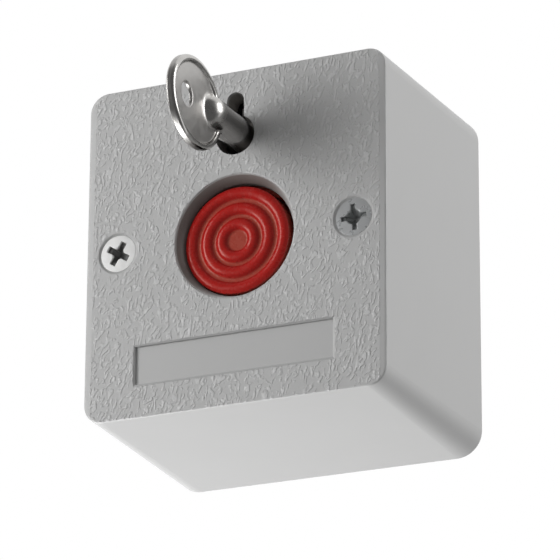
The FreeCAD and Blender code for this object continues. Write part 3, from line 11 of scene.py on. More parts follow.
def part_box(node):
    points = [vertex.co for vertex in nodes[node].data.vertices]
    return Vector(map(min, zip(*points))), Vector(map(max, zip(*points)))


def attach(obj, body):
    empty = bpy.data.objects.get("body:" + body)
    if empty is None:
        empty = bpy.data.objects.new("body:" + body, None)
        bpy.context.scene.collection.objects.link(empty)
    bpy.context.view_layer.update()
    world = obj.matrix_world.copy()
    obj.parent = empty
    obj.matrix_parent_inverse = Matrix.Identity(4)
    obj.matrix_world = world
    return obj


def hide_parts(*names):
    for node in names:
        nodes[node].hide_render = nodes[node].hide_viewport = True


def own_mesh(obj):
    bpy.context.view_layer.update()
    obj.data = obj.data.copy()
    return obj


MM = 0.001
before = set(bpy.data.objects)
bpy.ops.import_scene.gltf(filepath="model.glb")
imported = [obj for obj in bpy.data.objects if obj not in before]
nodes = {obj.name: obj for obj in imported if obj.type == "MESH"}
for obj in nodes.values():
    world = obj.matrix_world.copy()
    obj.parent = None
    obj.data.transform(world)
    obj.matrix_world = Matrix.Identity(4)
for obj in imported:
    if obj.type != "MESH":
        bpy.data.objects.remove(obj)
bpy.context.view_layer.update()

# The housing's front, in metres
HOUSING = (0.47, 0.47, 0.468)
FRONT = 0.0325
BORDER = 0.0221
BORDER_SLOPE = 0.13
SCREW_X = 0.0182
SCREW_BEVEL_START = 0.0027
LABEL_HALF_WIDTH, LABEL_HALF_HEIGHT, LABEL_DROP = 0.01515, 0.0028, 0.0173
BEVEL_SLOPE = -0.7
GRAIN_HEIGHT = 0.00009
KEYHOLE_HALF_WIDTH = 0.0033
KEYHOLE_BOTTOM, KEYHOLE_TOP = 0.0118, 0.0220

# Pieces, in millimetres. A depth is measured from the wall towards the front.
CAP_CREST, CAP_GROOVE, CAP_ROOF = 31.2, 30.65, 29.4
CAP_RADIUS, CAP_BRIM_RADIUS, CAP_INNER_RADIUS = 8.0, 9.9, 6.7
CAP_LEAN = (-0.3, -0.1)
RIDGES = (2.45, 4.75, 7.12)
RIDGE_RADIUS = 1.05
KEY_HEIGHT = 15.2
BARREL_RADIUS, BARREL_START, BARREL_DOME = 2.25, 24.7, 41.1
BARREL_SHIFT = (0.22, 0.2)
BORE_RADIUS, BORE_END = 1.35, 28.7
BOW_DEPTH, BOW_DROP = 45.9, 0.2
BOW_HALF_LENGTH, BOW_HALF_HEIGHT = 7.8, 6.6
BOW_RIM = 0.5
RING_HOLE_DEPTH, RING_HOLE_RADIUS = 48.7, 1.75
SCREW_FRONT = 32.45
SCREW_HEAD_RADIUS, SCREW_SHANK_RADIUS, SCREW_END = 2.75, 1.45, 13.45
TURNED_SEGMENTS = 160


def add_piece(name, mesh):
    """A smooth object of the part."""
    mesh.shade_smooth()
    piece = bpy.data.objects.new(name, mesh)
    bpy.context.collection.objects.link(piece)
    return piece


def finish_piece(name, made):
    """Turns a bmesh into a smooth object of the part."""
    bmesh.ops.recalc_face_normals(made, faces=made.faces)
    mesh = bpy.data.meshes.new(name)
    made.to_mesh(mesh)
    made.free()
    return add_piece(name, mesh)


# Materials

class Look:
    """A procedural material that is built node by node."""

    def __init__(self, name, colour, roughness, metallic=0.0, specular=0.5):
        self.material = bpy.data.materials.new(name)
        self.material.use_nodes = True
        self.tree = self.material.node_tree
        self.shader = self.tree.nodes["Principled BSDF"]
        self.shader.inputs["Base Color"].default_value = (*colour, 1)
        self.shader.inputs["Roughness"].default_value = roughness
        self.shader.inputs["Metallic"].default_value = metallic
        self.shader.inputs["Specular IOR Level"].default_value = specular
        self.colour = colour
        self.place = self.node("ShaderNodeTexCoord").outputs["Object"]
        self.height = None

    def node(self, kind, **settings):
        """Adds one node."""
        made = self.tree.nodes.new(kind)
        for key, value in settings.items():
            setattr(made, key, value)
        return made

    def feed(self, socket, value):
        """Links a socket, or sets a plain value."""
        if isinstance(value, bpy.types.NodeSocket):
            self.tree.links.new(value, socket)
        else:
            socket.default_value = value

    def math(self, operation, first, second=0.0, clamp=False):
        """One sum of two values."""
        made = self.node("ShaderNodeMath", operation=operation, use_clamp=clamp)
        self.feed(made.inputs[0], first)
        self.feed(made.inputs[1], second)
        return made.outputs[0]

    def ramp(self, value, low, high, to_low=0.0, to_high=1.0):
        """A smooth step between two values."""
        made = self.node("ShaderNodeMapRange", interpolation_type="SMOOTHSTEP")
        for socket, item in zip(made.inputs, (value, low, high, to_low, to_high)):
            self.feed(socket, item)
        return made.outputs[0]

    def stretched(self, size, turn=(0, 0, 0)):
        """Coordinates in which one unit is the given size in metres along each axis."""
        turned = self.node("ShaderNodeMapping")
        turned.inputs["Rotation"].default_value = [math.radians(angle) for angle in turn]
        self.feed(turned.inputs["Vector"], self.place)
        scaled = self.node("ShaderNodeMapping")
        scaled.inputs["Scale"].default_value = [1 / length for length in size]
        self.feed(scaled.inputs["Vector"], turned.outputs[0])
        return scaled.outputs[0]

    def noise(self, size, detail=2.0, turn=(0, 0, 0), roughness=0.5, distortion=0.0):
        """Noise whose grains have the given size in metres."""
        made = self.node("ShaderNodeTexNoise")
        self.feed(made.inputs["Vector"], self.stretched(size, turn))
        made.inputs["Scale"].default_value = 1.0
        made.inputs["Detail"].default_value = detail
        made.inputs["Roughness"].default_value = roughness
        made.inputs["Distortion"].default_value = distortion
        return made.outputs["Fac"]

    def axis(self, index):
        """One coordinate of the place, in metres."""
        made = self.node("ShaderNodeSeparateXYZ")
        self.feed(made.inputs[0], self.place)
        return made.outputs[index]

    def tint(self, factor, colour):
        """Mixes a second colour into the base colour."""
        made = self.node("ShaderNodeMix", data_type="RGBA")
        link = self.shader.inputs["Base Color"].links
        self.feed(made.inputs[0], factor)
        self.feed(made.inputs[6], link[0].from_socket if link else (*self.colour, 1))
        self.feed(made.inputs[7], (*colour, 1))
        self.feed(self.shader.inputs["Base Color"], made.outputs[2])

    def rough(self, value):
        """Drives the roughness."""
        self.feed(self.shader.inputs["Roughness"], value)

    def raise_by(self, height):
        """Adds relief, given in metres."""
        self.height = height if self.height is None else self.math("ADD", self.height, height)

    def done(self):
        """Turns the relief into a bump and returns the material."""
        if self.height is not None:
            bump = self.node("ShaderNodeBump")
            bump.inputs["Distance"].default_value = 1.0
            bump.inputs["Strength"].default_value = 1.0
            self.feed(bump.inputs["Height"], self.height)
            self.feed(self.shader.inputs["Normal"], bump.outputs[0])
        return self.material


def speckled(look, size, amount, colour):
    """Faint uneven colour."""
    patches = look.noise((size, size, size), detail=3.0)
    look.tint(look.ramp(patches, 0.35, 0.75, 0.0, amount), colour)


def plain_plastic(name, colour, roughness=0.45, grain=0.00025, relief=0.000006):
    """Moulded plastic with a fine matte surface."""
    look = Look(name, colour, roughness)
    speckled(look, 0.006, 0.25, [channel * 0.82 for channel in colour])
    look.raise_by(look.math("MULTIPLY", look.noise((grain, grain, grain)), relief))
    look.rough(look.ramp(look.noise((0.002, 0.002, 0.002)), 0.3, 0.7, roughness - 0.05, roughness + 0.07))
    return look.done()


def worked_metal(name, colour, roughness, metallic=1.0, lines=(0.00005, 0.002, 0.00005), relief=0.0000015):
    """Metal with fine drawn lines and faint stains."""
    look = Look(name, colour, roughness, metallic=metallic)
    speckled(look, 0.002, 0.35, [channel * 0.7 for channel in colour])
    look.raise_by(look.math("MULTIPLY", look.noise(lines), relief))
    look.rough(look.ramp(look.noise((0.0012, 0.0012, 0.0012)), 0.3, 0.7, roughness * 0.8, roughness * 1.4))
    return look.done()


def zinc(name, colour, recess, roughness, metallic):
    """Zinc plate whose cross recess is painted darker as painted shade."""
    look = Look(name, colour, roughness, metallic=metallic)
    speckled(look, 0.001, 0.2, [channel * 0.8 for channel in colour])
    depth = look.math("MULTIPLY", look.axis(1), -1.0)
    # Painted shade: the cross recess, below about 0.2 mm under the head's face, is painted in the dark recess
    # colour.
    look.tint(look.ramp(depth, 0.03205, 0.03228, 0.92, 0.0), recess)
    look.raise_by(look.math("MULTIPLY", look.noise((0.0004, 0.0004, 0.0004), detail=2.0), 0.000006))
    look.rough(look.ramp(look.noise((0.0008, 0.0008, 0.0008)), 0.3, 0.7, roughness * 0.8, roughness * 1.3))
    return look.done()


def worms(look, size, turn, share):
    """Short raised strokes, 1 on their tops and 0 between them."""
    strokes = look.noise(size, detail=1.0, turn=(0, turn, 0), distortion=0.25)
    return look.ramp(strokes, 0.5 - share, 0.62 - share)


def leather(look):
    """Winding raised strokes in two directions, broken into short lengths."""
    upright = worms(look, (0.00042, 0.002, 0.0013), -8, 0.02)
    leaning = worms(look, (0.00042, 0.002, 0.0012), -38, 0.02)
    split = look.ramp(look.noise((0.0017, 0.002, 0.0017), detail=1.0), 0.44, 0.56)
    mixed = look.node("ShaderNodeMix")
    for socket, value in ((0, split), (2, upright), (3, leaning)):
        look.feed(mixed.inputs[socket], value)
    broken = look.ramp(look.noise((0.0009, 0.002, 0.0009), detail=1.0), 0.36, 0.5)
    return look.math("MULTIPLY", mixed.outputs[0], broken)


def distance(look, x, z):
    """Distance from a line along the depth."""
    aside = look.math("POWER", look.math("SUBTRACT", look.axis(0), x), 2.0)
    aloft = look.math("POWER", look.math("SUBTRACT", look.axis(2), z), 2.0)
    return look.math("POWER", look.math("ADD", aside, aloft), 0.5)


def bevel(look, away, face, width):
    """The slope round a sunk form, by the distance from its edge."""
    near = look.math("MAXIMUM", look.math("SUBTRACT", width, look.math("MAXIMUM", away, 0.0)), 0.0)
    return look.math("MULTIPLY", look.math("MULTIPLY", near, BEVEL_SLOPE), face)


def housing_plastic():
    """Grey moulding: leather grain on the front face inside plain borders, a smooth label field."""
    look = Look("housing_plastic", HOUSING, 0.42)
    across = look.math("ABSOLUTE", look.axis(0))
    depth = look.math("MULTIPLY", look.axis(1), -1.0)
    face = look.ramp(depth, FRONT - 0.00012, FRONT - 0.00003)
    inner = look.ramp(across, BORDER, BORDER + 0.0001, 1.0, 0.0)
    plain = look.math("MULTIPLY", face, inner)
    for centre in (-SCREW_X, SCREW_X):
        away = distance(look, centre, 0.0)
        plain = look.math("MULTIPLY", plain, look.ramp(away, 0.0031, 0.0034))
        look.raise_by(bevel(look, look.math("SUBTRACT", away, SCREW_BEVEL_START), face, 0.0004))
    beside_label = look.math("SUBTRACT", across, LABEL_HALF_WIDTH)
    from_label = look.math("ABSOLUTE", look.math("ADD", look.axis(2), LABEL_DROP))
    above_label = look.math("SUBTRACT", from_label, LABEL_HALF_HEIGHT)
    outside = look.math("MAXIMUM", beside_label, above_label)
    plain = look.math("MULTIPLY", plain, look.ramp(outside, 0.0002, 0.0004))
    look.raise_by(bevel(look, outside, face, 0.00028))
    grain = look.math("MULTIPLY", leather(look), plain)
    look.raise_by(look.math("MULTIPLY", grain, GRAIN_HEIGHT))
    beyond = look.math("MAXIMUM", look.math("SUBTRACT", across, BORDER), 0.0)
    look.raise_by(look.math("MULTIPLY", look.math("MULTIPLY", beyond, -BORDER_SLOPE), face))
    look.raise_by(look.math("MULTIPLY", look.noise((0.0002, 0.0002, 0.0002), detail=2.0), 0.000008))
    look.raise_by(look.math("MULTIPLY", look.noise((0.003, 0.003, 0.003), detail=2.0), 0.00002))
    speckled(look, 0.012, 0.12, (0.42, 0.42, 0.415))
    # Painted highlight: the raised grain strokes are painted lighter grey.
    look.tint(look.math("MULTIPLY", grain, 0.35), (0.64, 0.64, 0.64))
    deep = look.ramp(depth, FRONT - 0.0009, FRONT - 0.0002, 1.0, 0.0)
    # Painted shade: inside the button hole the wall is painted dark brown deeper than 2.5 mm below the face,
    # and on its upper-left side from 0.3 mm below the face.
    shaded = look.ramp(look.math("SUBTRACT", look.axis(2), look.axis(0)), -0.010, 0.004, 0.15, 0.95)
    painted_hole_shade = look.math("MAXIMUM", look.ramp(depth, FRONT - 0.0025, FRONT - 0.0015, 1.0, 0.0),
                    look.math("MULTIPLY", shaded, look.ramp(depth, FRONT - 0.0003, FRONT - 0.0001, 1.0, 0.0)))
    around = distance(look, 0.0, 0.0)
    look.tint(look.math("MULTIPLY", look.ramp(around, 0.0093, 0.0095, 1.0, 0.0), painted_hole_shade), (0.15, 0.12, 0.11))
    # Painted shade: the keyhole's walls below the face are painted darker.
    above = look.math("MULTIPLY", look.ramp(look.axis(2), KEYHOLE_BOTTOM, 0.012),
                      look.ramp(look.axis(2), KEYHOLE_TOP, 0.0224, 1.0, 0.0))
    beside = look.ramp(across, KEYHOLE_HALF_WIDTH, 0.0035, 1.0, 0.0)
    look.tint(look.math("MULTIPLY", look.math("MULTIPLY", above, beside), deep), (0.3, 0.285, 0.27))
    return look.done()


def red_plastic():
    """Red moulding with a satin skin; the flats between the ridges are painted browner as a painted sheen."""
    look = Look("red_plastic", (0.41, 0.012, 0.010), 0.26, specular=0.55)
    look.shader.inputs["Specular Tint"].default_value = (1.0, 0.86, 0.76, 1)
    speckled(look, 0.004, 0.3, (0.30, 0.010, 0.008))
    depth = look.math("MULTIPLY", look.axis(1), -1.0)
    # Painted sheen: the flat grooves and centre at groove depth are painted a browner red.
    painted_sheen_flats = look.ramp(depth, (CAP_GROOVE + 0.04) * MM, (CAP_GROOVE + 0.16) * MM, 0.85, 0.0)
    look.tint(painted_sheen_flats, (0.34, 0.056, 0.036))
    look.raise_by(look.math("MULTIPLY", look.noise((0.0002, 0.0002, 0.0002)), 0.000003))
    look.raise_by(look.math("MULTIPLY", look.noise((0.0015, 0.0015, 0.0015)), 0.00001))
    look.rough(look.ramp(look.noise((0.001, 0.001, 0.001)), 0.3, 0.7, 0.2, 0.32))
    return look.done()


def key_nickel():
    """Cast key with dull nickel plate, a little uneven and stained; the barrel is painted darker as painted
    shade.
    """
    look = Look("key_nickel", (0.54, 0.53, 0.515), 0.18, metallic=1.0)
    speckled(look, 0.0016, 0.35, (0.40, 0.39, 0.37))
    off = distance(look, 0.0, KEY_HEIGHT * MM)
    # Painted shade: the barrel, up to its domed end, is painted darker for the shadowed cover face it
    # mirrors.
    shaded_barrel = look.ramp(look.axis(1), -0.0415, -0.0405)
    look.tint(look.math("MULTIPLY", look.ramp(off, 0.0029, 0.0032, 1.0, 0.0), shaded_barrel), (0.33, 0.32, 0.31))
    round_end = look.math("MULTIPLY", look.ramp(off, 0.0026, 0.0030, 0.14, 0.0),
                          look.ramp(look.axis(1), -0.0405, -0.0395, 1.0, 0.0))
    look.raise_by(look.math("MULTIPLY", look.noise((0.002, 0.002, 0.002), detail=2.0), 0.000012))
    polish = look.ramp(look.noise((0.0012, 0.0012, 0.0012), detail=2.0), 0.35, 0.7, 0.12, 0.2)
    web = look.ramp(look.math("ABSOLUTE", look.axis(0)), 0.00033, 0.00042, 1.0, 0.0)
    look.tint(look.math("MULTIPLY", web, 0.7), (0.37, 0.36, 0.35))
    round_end = look.math("MULTIPLY", round_end, look.math("SUBTRACT", 1.0, web))
    look.rough(look.math("ADD", polish, look.math("ADD", look.math("MULTIPLY", web, 0.2), round_end)))
    return look.done()


def solder_mask():
    """Green circuit board with darker tracks."""
    look = Look("solder_mask", (0.012, 0.11, 0.035), 0.28)
    tracks = look.node("ShaderNodeTexBrick")
    look.feed(tracks.inputs["Vector"], look.stretched((0.004, 0.004, 0.004), turn=(90, 0, 0)))
    tracks.inputs["Mortar Size"].default_value = 0.06
    look.tint(look.math("MULTIPLY", tracks.outputs["Fac"], 0.6), (0.03, 0.2, 0.06))
    return look.done()


BLACK = (0.018, 0.018, 0.02)
steel = worked_metal("small_steel", (0.56, 0.57, 0.58), 0.3)
spring_wire = worked_metal("spring_wire", (0.52, 0.53, 0.55), 0.25)
brass = worked_metal("tinned_brass", (0.72, 0.62, 0.4), 0.3)
LOOKS = {
    "cover": housing_plastic(), "base_plate": plain_plastic("base_plastic", (0.44, 0.44, 0.435)),
    "cover_screw_left": zinc("bright_zinc", (0.84, 0.84, 0.83), (0.085, 0.085, 0.082), 0.4, 0.25),
    "cover_screw_right": zinc("dull_zinc", (0.52, 0.53, 0.535), (0.27, 0.28, 0.28), 0.3, 0.45),
    "mechanism_frame": plain_plastic("black_plastic", BLACK), "frame_screws": steel,
    "circuit_board": solder_mask(), "board_screws": steel,
    "switch_body": plain_plastic("switch_plastic", (0.022, 0.022, 0.024), roughness=0.38),
    "switch_terminals": brass, "switch_lever": spring_wire,
    "switch_plunger": plain_plastic("nub_plastic", (0.5, 0.02, 0.015), roughness=0.35),
    "terminal_block": plain_plastic("terminal_plastic", (0.02, 0.16, 0.06), roughness=0.4),
    "terminal_clamps": brass, "terminal_screws": steel,
    "return_spring": spring_wire, "latch_spring": spring_wire,
    "button_cap": red_plastic(), "plunger_stem": plain_plastic("stem_plastic", (0.78, 0.78, 0.75)),
    "latch_plate": worked_metal("latch_steel", (0.5, 0.51, 0.52), 0.35),
    "key_rotor": worked_metal("cast_zinc", (0.42, 0.41, 0.4), 0.42), "rotor_washer": steel,
    "release_cam": worked_metal("cam_steel", (0.5, 0.5, 0.5), 0.35), "cam_screw": steel,
    "reset_key": key_nickel(),
}
for name, material in LOOKS.items():
    for place in nodes[name].material_slots:
        place.material = material


# Shapes that are described by a distance field, in millimetres, and skinned as a mesh

def length(*parts):
    """The length of a vector given part by part."""
    return np.sqrt(sum(part * part for part in parts))


def blend(first, second, reach):
    """The union of two fields with a fillet."""
    share = np.clip(0.5 + 0.5 * (second - first) / reach, 0, 1)
    return second + (first - second) * share - reach * share * (1 - share)


def carve(base, tool, reach):
    """A field less another, with a rounded edge."""
    return -blend(-base, tool, reach)


def slab(value, low, high):
    """Between two planes."""
    return np.maximum(low - value, value - high)


def oval(along, up, half_length, half_height):
    """Distance to an ellipse."""
    near = length(along / half_length, up / half_height)
    steep = length(along / half_length ** 2, up / half_height ** 2)
    return near * (near - 1) / np.maximum(steep, 1e-6)


def settle(field, points, step):
    """Draws points onto the zero surface."""
    reach = step * 0.05
    for _ in range(4):
        here = field(*points.T)
        slope = np.stack([field(*(points + reach * axis).T) - here for axis in np.eye(3)], 1) / reach
        pull = here / np.maximum((slope ** 2).sum(1), 1e-3)
        points = points - np.clip(pull[:, None] * slope, -step, step)
    return points


def skin(name, field, low, high, step):
    """A smooth mesh of a field's zero surface.

    It has one point in each crossed cell, and one quad on each crossed edge.
    """
    axes = [np.arange(start, end + step, step) for start, end in zip(low, high)]
    inside = field(*np.meshgrid(*axes, indexing="ij")) < 0
    wide, deep, tall = (count - 1 for count in inside.shape)
    corners = sum(inside[i:wide + i, j:deep + j, k:tall + k].astype(int)
                  for i in (0, 1) for j in (0, 1) for k in (0, 1))
    crossed = (corners > 0) & (corners < 8)
    number = np.full(crossed.shape, -1)
    cells = np.argwhere(crossed)
    number[crossed] = np.arange(len(cells))
    points = settle(field, np.array([axis[0] for axis in axes]) + (cells + 0.5) * step, step)
    faces = []
    for axis in range(3):
        one, two = (axis + 1) % 3, (axis + 2) % 3
        ahead = np.moveaxis(inside, (axis, one, two), (0, 1, 2))
        around = np.moveaxis(number, (axis, one, two), (0, 1, 2))
        start, end = ahead[:-1, 1:-1, 1:-1], ahead[1:, 1:-1, 1:-1]
        for outward, places in ((1, start & ~end), (-1, end & ~start)):
            i, j, k = np.nonzero(places)
            quad = np.stack([around[i, j, k], around[i, j + 1, k],
                             around[i, j + 1, k + 1], around[i, j, k + 1]], 1)
            faces.append(quad[:, ::outward])
    mesh = bpy.data.meshes.new(name)
    mesh.from_pydata(points * MM, [], np.concatenate(faces).tolist())
    return add_piece(name, mesh)


def key_field(x, y, z):
    """A barrel with a domed end that runs into an oval bow with a raised rim and a ring hole."""
    depth, up = -y, z - KEY_HEIGHT
    shift = np.clip((depth - 28.5) / 4, 0, 1)
    off = (x - BARREL_SHIFT[0] * shift, up - BARREL_SHIFT[1] * shift)
    barrel = length(*off, np.maximum(depth - BARREL_DOME, 0)) - BARREL_RADIUS
    barrel = np.maximum(barrel, BARREL_START - depth)
    barrel = carve(barrel, np.maximum(length(x, up) - BORE_RADIUS, depth - BORE_END), 0.1)
    bit = np.maximum(np.maximum(np.abs(x) - 1.0, slab(depth, 24.8, 28.2)), slab(up, 1.75, 5.9))
    notch = np.maximum(np.abs(depth - 26.5) - 0.4, 5.1 - up)
    outline = oval(depth - BOW_DEPTH, up + BOW_DROP, BOW_HALF_LENGTH, BOW_HALF_HEIGHT)
    wide, thick = np.abs(outline + BOW_RIM) - 0.04, np.abs(x) - 0.25
    rim = length(np.maximum(wide, 0), np.maximum(thick, 0)) + np.minimum(np.maximum(wide, thick), 0) - 0.45
    web = np.maximum(outline + BOW_RIM, np.abs(x) - 0.3)
    bow = blend(rim, web, 0.2)
    ring = length(depth - RING_HOLE_DEPTH, up)
    bow = carve(bow, ring - RING_HOLE_RADIUS, 0.16)
    return blend(blend(barrel, np.maximum(bit, -notch), 0.15), bow, 0.7)


def place_key():
    """The key as one smooth piece."""
    key = skin("key", key_field, (-3.0, -54.2, 7.9), (3.0, -24.2, 22.2), 0.12)
    key.data.materials.append(LOOKS["reset_key"])
    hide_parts("reset_key")
    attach(key, "key")


place_key()


# Shapes that are turned round an axis along the depth, in millimetres

def rounded(corners, radius, steps=4):
    """A path of (radius, depth) points whose inner corners are rounded."""
    path = [corners[0]]
    for before, corner, after in zip(corners, corners[1:], corners[2:]):
        back, on = Vector(before) - Vector(corner), Vector(after) - Vector(corner)
        reach = min(radius, back.length / 2, on.length / 2)
        start, end = back.normalized() * reach, on.normalized() * reach
        for step in range(steps + 1):
            share = step / steps
            bend = Vector(corner) + start * (1 - share) ** 2 + end * share ** 2
            path.append(tuple(bend))
    return path + [corners[-1]]


def lathe(name, path, segments):
    """A closed smooth mesh of revolution. The path starts and ends on the axis, or in the same point."""
    made = bmesh.new()
    rings = []
    for radius, depth in path[:-1] if path[0] == path[-1] else path:
        if radius < 1e-6:
            rings.append([made.verts.new((0, -depth * MM, 0))] * segments)
            continue
        angles = [2 * math.pi * number / segments for number in range(segments)]
        rings.append([
            made.verts.new((radius * MM * math.cos(turn), -depth * MM, radius * MM * math.sin(turn)))
            for turn in angles])
    if path[0] == path[-1]:
        rings.append(rings[0])
    for first, second in zip(rings, rings[1:]):
        for number in range(segments):
            ahead = (number + 1) % segments
            corners = dict.fromkeys((first[number], first[ahead], second[ahead], second[number]))
            if len(corners) > 2:
                made.faces.new(list(corners))
    return finish_piece(name, made)


def ridge_height(radius):
    """Height of the cap's front over its grooves."""
    arcs = [math.sqrt(max(RIDGE_RADIUS ** 2 - (radius - crest) ** 2, 0)) for crest in RIDGES]
    return max(0.0, max(arcs) - RIDGE_RADIUS + CAP_CREST - CAP_GROOVE)


def place_cap():
    """The red cap with soft concentric ridges."""
    count = 150
    radii = [7.9 * number / count for number in range(count + 1)]
    heights = [ridge_height(radius) for radius in radii]
    padded = heights[3:0:-1] + heights + [heights[-1]] * 3
    soft = [sum(padded[number:number + 7]) / 7 for number in range(count + 1)]
    front = [(radius, CAP_GROOVE + height) for radius, height in zip(radii, soft)]
    rest = [front[-1], (CAP_RADIUS, front[-1][1] - 0.15), (CAP_RADIUS, 27.0), (CAP_BRIM_RADIUS, 27.0),
            (CAP_BRIM_RADIUS, 25.9), (CAP_INNER_RADIUS, 25.9), (CAP_INNER_RADIUS, CAP_ROOF),
            (4.9, CAP_ROOF), (4.9, 27.2), (4.0, 27.2), (4.0, 29.0), (0.0, 29.0)]
    cap = lathe("cap", front[:-1] + rounded(rest, 0.12), TURNED_SEGMENTS)
    for vertex in cap.data.vertices:
        lean = min(max((-vertex.co.y / MM - 27.2) / 3.5, 0), 1) * MM
        vertex.co.x += CAP_LEAN[0] * lean
        vertex.co.z += CAP_LEAN[1] * lean
    cap.data.materials.append(LOOKS["button_cap"])
    cap.visible_glossy = False
    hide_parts("button_cap")
    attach(cap, "button")


def place_funnel():
    """The slanting wall of the button hole."""
    path = [(9.25, 32.3), (9.12, 32.3), (8.36, 30.6), (8.36, 29.6), (9.25, 29.3), (9.25, 32.3)]
    funnel = lathe("hole_wall", [path[0]] + rounded(path[1:5], 0.1) + [path[0]],
                   TURNED_SEGMENTS)
    funnel.data.materials.append(LOOKS["cover"])
    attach(funnel, "housing")


def recess(along, across, sunk, angle, reach, width, steep):
    """Two crossed slots whose floors rise outwards."""
    turn = math.radians(angle)
    first = along * math.cos(turn) + across * math.sin(turn)
    second = across * math.cos(turn) - along * math.sin(turn)
    slots = []
    for way, side in ((first, second), (second, first)):
        left = reach - np.abs(way)
        bottom = np.maximum(left * steep, np.minimum(left, 0.1) * 5)
        slots.append(np.maximum(np.abs(side) - width / 2 + sunk * 0.08, sunk - bottom))
    return np.minimum(*slots)


def screw_field(middle, angle, reach, width, cone):
    """A countersunk screw with a crossed recess."""
    def field(x, y, z):
        depth, off = -y, x - middle
        out = length(off, z)
        sunk = SCREW_FRONT - depth
        dome = SCREW_FRONT - out ** 2 * 0.012
        cone_side = (out - SCREW_HEAD_RADIUS - depth + 32.3) * 0.7071
        head = np.maximum(np.maximum(out - SCREW_HEAD_RADIUS, depth - dome), cone_side)
        shaded_barrel = np.maximum(out - SCREW_SHANK_RADIUS, SCREW_END - depth)
        body = np.maximum(blend(np.maximum(head, 31.05 - depth), shaded_barrel, 0.1), depth - dome)
        cross = recess(off, z, sunk, angle, reach, width, 0.9)
        well = np.maximum(out - cone + sunk * 0.45, sunk - 1.7)
        return carve(body, blend(cross, well, 0.12), 0.06)
    return field


def place_screw(name, middle, angle, reach, width, cone):
    """One cover screw."""
    field = screw_field(middle, angle, reach, width, cone)
    screw = skin(name + "_piece", field, (middle - 3.0, -32.6, -3.0), (middle + 3.0, -13.2, 3.0), 0.075)
    screw.data.materials.append(LOOKS[name])
    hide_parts(name)
    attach(screw, "housing")


def coil(name, centre, along, length_mm, radius, wire, turns):
    """A round wire wound round an axis, in millimetres. It starts at the centre and goes along."""
    steps, sides = 36 * turns, 12
    along, centre = Vector(along), Vector(centre)
    across = Vector((1, 0, 0))
    other = along.cross(across)
    made = bmesh.new()
    rings = []
    for step in range(steps + 1):
        turn = 2 * math.pi * turns * step / steps
        out = across * math.cos(turn) + other * math.sin(turn)
        middle = centre + out * radius + along * (wire + (length_mm - 2 * wire) * step / steps)
        angles = [2 * math.pi * number / sides for number in range(sides)]
        rings.append([
            made.verts.new((middle + out * wire * math.cos(side) + along * wire * math.sin(side)) * MM)
            for side in angles])
    for first, second in zip(rings, rings[1:]):
        for number in range(sides):
            ahead = (number + 1) % sides
            made.faces.new((first[number], first[ahead], second[ahead], second[number]))
    made.faces.new(rings[0])
    made.faces.new(rings[-1])
    return finish_piece(name, made)


def place_spring(node, along, wire, turns):
    """A coil spring in the place of its node. It is wound from its fixed end."""
    low, high = (Vector(corner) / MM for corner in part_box(node))
    along = Vector(along)
    middle = (low + high) / 2
    free = abs((high - low).dot(along))
    radius = (high.x - low.x) / 2 - wire
    fixed = middle - along * free / 2
    spring = coil(node + "_wire", fixed, along, free, radius, wire, turns)
    spring.data.materials.append(LOOKS[node])
    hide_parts(node)
    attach(spring, "housing")
    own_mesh(spring)


place_cap()
place_funnel()
place_spring("return_spring", (0, -1, 0), 0.3, 3)
place_spring("latch_spring", (0, 0, 1), 0.18, 5)
place_screw("cover_screw_left", -18.2, 60, 1.85, 0.95, 0.9)
place_screw("cover_screw_right", 18.2, 95, 1.95, 0.7, 1.15)


# Light

SKY = 0.225
ROOM = 0.12


def seen_light(tree, along, low, high):
    """How bright a ray sees it, and whether it does: white for the camera.

    Polished surfaces see white only behind the part.
    """
    behind = tree.nodes.new("ShaderNodeMapRange")
    behind.interpolation_type = "SMOOTHSTEP"
    tree.links.new(along, behind.inputs["Value"])
    for name, value in (("From Min", low), ("From Max", high), ("To Min", ROOM), ("To Max", 1.0)):
        behind.inputs[name].default_value = value
    path = tree.nodes.new("ShaderNodeLightPath")
    results = []
    glossy = path.outputs["Is Glossy Ray"]
    for start, others in ((behind.outputs[0], ()), (glossy, ("Is Transmission Ray",))):
        value = start
        for other in ("Is Camera Ray",) + others:
            either = tree.nodes.new("ShaderNodeMath")
            either.operation = "MAXIMUM"
            tree.links.new(value, either.inputs[0])
            tree.links.new(path.outputs[other], either.inputs[1])
            value = either.outputs[0]
        results.append(value)
    return results


def light_world():
    """Even soft light. The camera sees white.

    Polished surfaces see white behind the part and a dim room in front of it.
    """
    world = bpy.data.worlds.new("studio")
    bpy.context.scene.world = world
    world.use_nodes = True
    tree = world.node_tree
    place = tree.nodes.new("ShaderNodeTexCoord")
    split = tree.nodes.new("ShaderNodeSeparateXYZ")
    tree.links.new(place.outputs["Generated"], split.inputs[0])
    shown, seen = seen_light(tree, split.outputs["Y"], -0.35, 0.1)
    strength = tree.nodes.new("ShaderNodeMix")
    strength.inputs[2].default_value = SKY
    tree.links.new(seen, strength.inputs[0])
    tree.links.new(shown, strength.inputs[3])
    ground = tree.nodes["Background"]
    ground.inputs["Color"].default_value = (1, 1, 1, 1)
    tree.links.new(strength.outputs[0], ground.inputs["Strength"])


def area_lamp(name, place, aim, size, power, mirrored=True):
    """A soft box, which polished surfaces mirror or not."""
    data = bpy.data.lights.new(name, "AREA")
    data.shape = "RECTANGLE"
    data.size, data.size_y = size
    data.energy = power
    lamp = bpy.data.objects.new(name, data)
    lamp.location = place
    lamp.rotation_euler = (Vector(aim) - Vector(place)).to_track_quat("-Z", "Y").to_euler()
    lamp.visible_glossy = mirrored
    bpy.context.collection.objects.link(lamp)


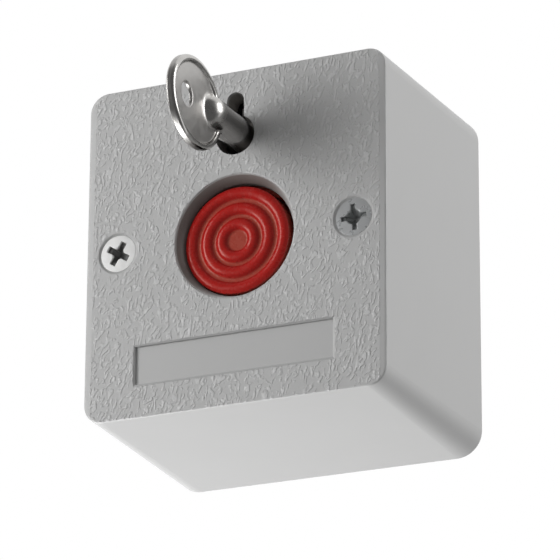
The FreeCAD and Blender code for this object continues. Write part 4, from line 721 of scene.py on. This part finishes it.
def floor():
    """A pale floor far below the part, which the camera sees as white."""
    mesh = bpy.data.meshes.new("floor")
    made = bmesh.new()
    bmesh.ops.create_grid(made, x_segments=1, y_segments=1, size=3.0)
    made.to_mesh(mesh)
    made.free()
    ground = bpy.data.objects.new("floor", mesh)
    ground.location = (0, 0, -0.8)
    bpy.context.collection.objects.link(ground)
    look = Look("floor_paint", (0.8, 0.8, 0.8), 0.6)
    glow = look.node("ShaderNodeEmission")
    mix = look.node("ShaderNodeMixShader")
    shown, seen = seen_light(look.tree, look.axis(1), -0.1, 0.7)
    look.feed(glow.inputs["Strength"], shown)
    look.feed(mix.inputs[0], seen)
    look.feed(mix.inputs[1], look.shader.outputs[0])
    look.feed(mix.inputs[2], glow.outputs[0])
    look.feed(look.tree.nodes["Material Output"].inputs["Surface"], mix.outputs[0])
    mesh.materials.append(look.done())


light_world()
floor()
area_lamp("left_lamp", (-0.27, -0.32, 0.0), (0, -0.03, 0.0), (0.30, 0.22), 0.97, mirrored=False)
area_lamp("strip_lamp", (-0.35, -0.27, 0.08), (0, -0.03, 0.0), (0.10, 0.36), 0.64)
area_lamp("low_lamp", (-0.22, 0.05, -0.30), (0, -0.02, 0), (0.20, 0.20), 1.50)
area_lamp("right_lamp", (0.40, 0.02, 0.16), (0, -0.02, 0), (0.24, 0.36), 1.23)


# Camera

def aim_camera(place, aim, roll, focal_length):
    """The photograph's viewpoint."""
    data = bpy.data.cameras.new("camera")
    data.sensor_width = 36.0
    data.lens = focal_length
    data.clip_start, data.clip_end = 0.01, 10.0
    camera = bpy.data.objects.new("camera", data)
    turn = (Vector(aim) - Vector(place)).to_track_quat("-Z", "Y").to_matrix().to_4x4()
    camera.matrix_world = Matrix.Translation(place) @ turn @ Matrix.Rotation(math.radians(roll), 4, "Z")
    bpy.context.collection.objects.link(camera)
    bpy.context.scene.camera = camera


aim_camera((0.222252, -0.502403, -0.197159), (0.006501, -0.031161, -0.007194), 0.3192, 255.095)

bpy.context.scene.view_settings.view_transform = "Standard"
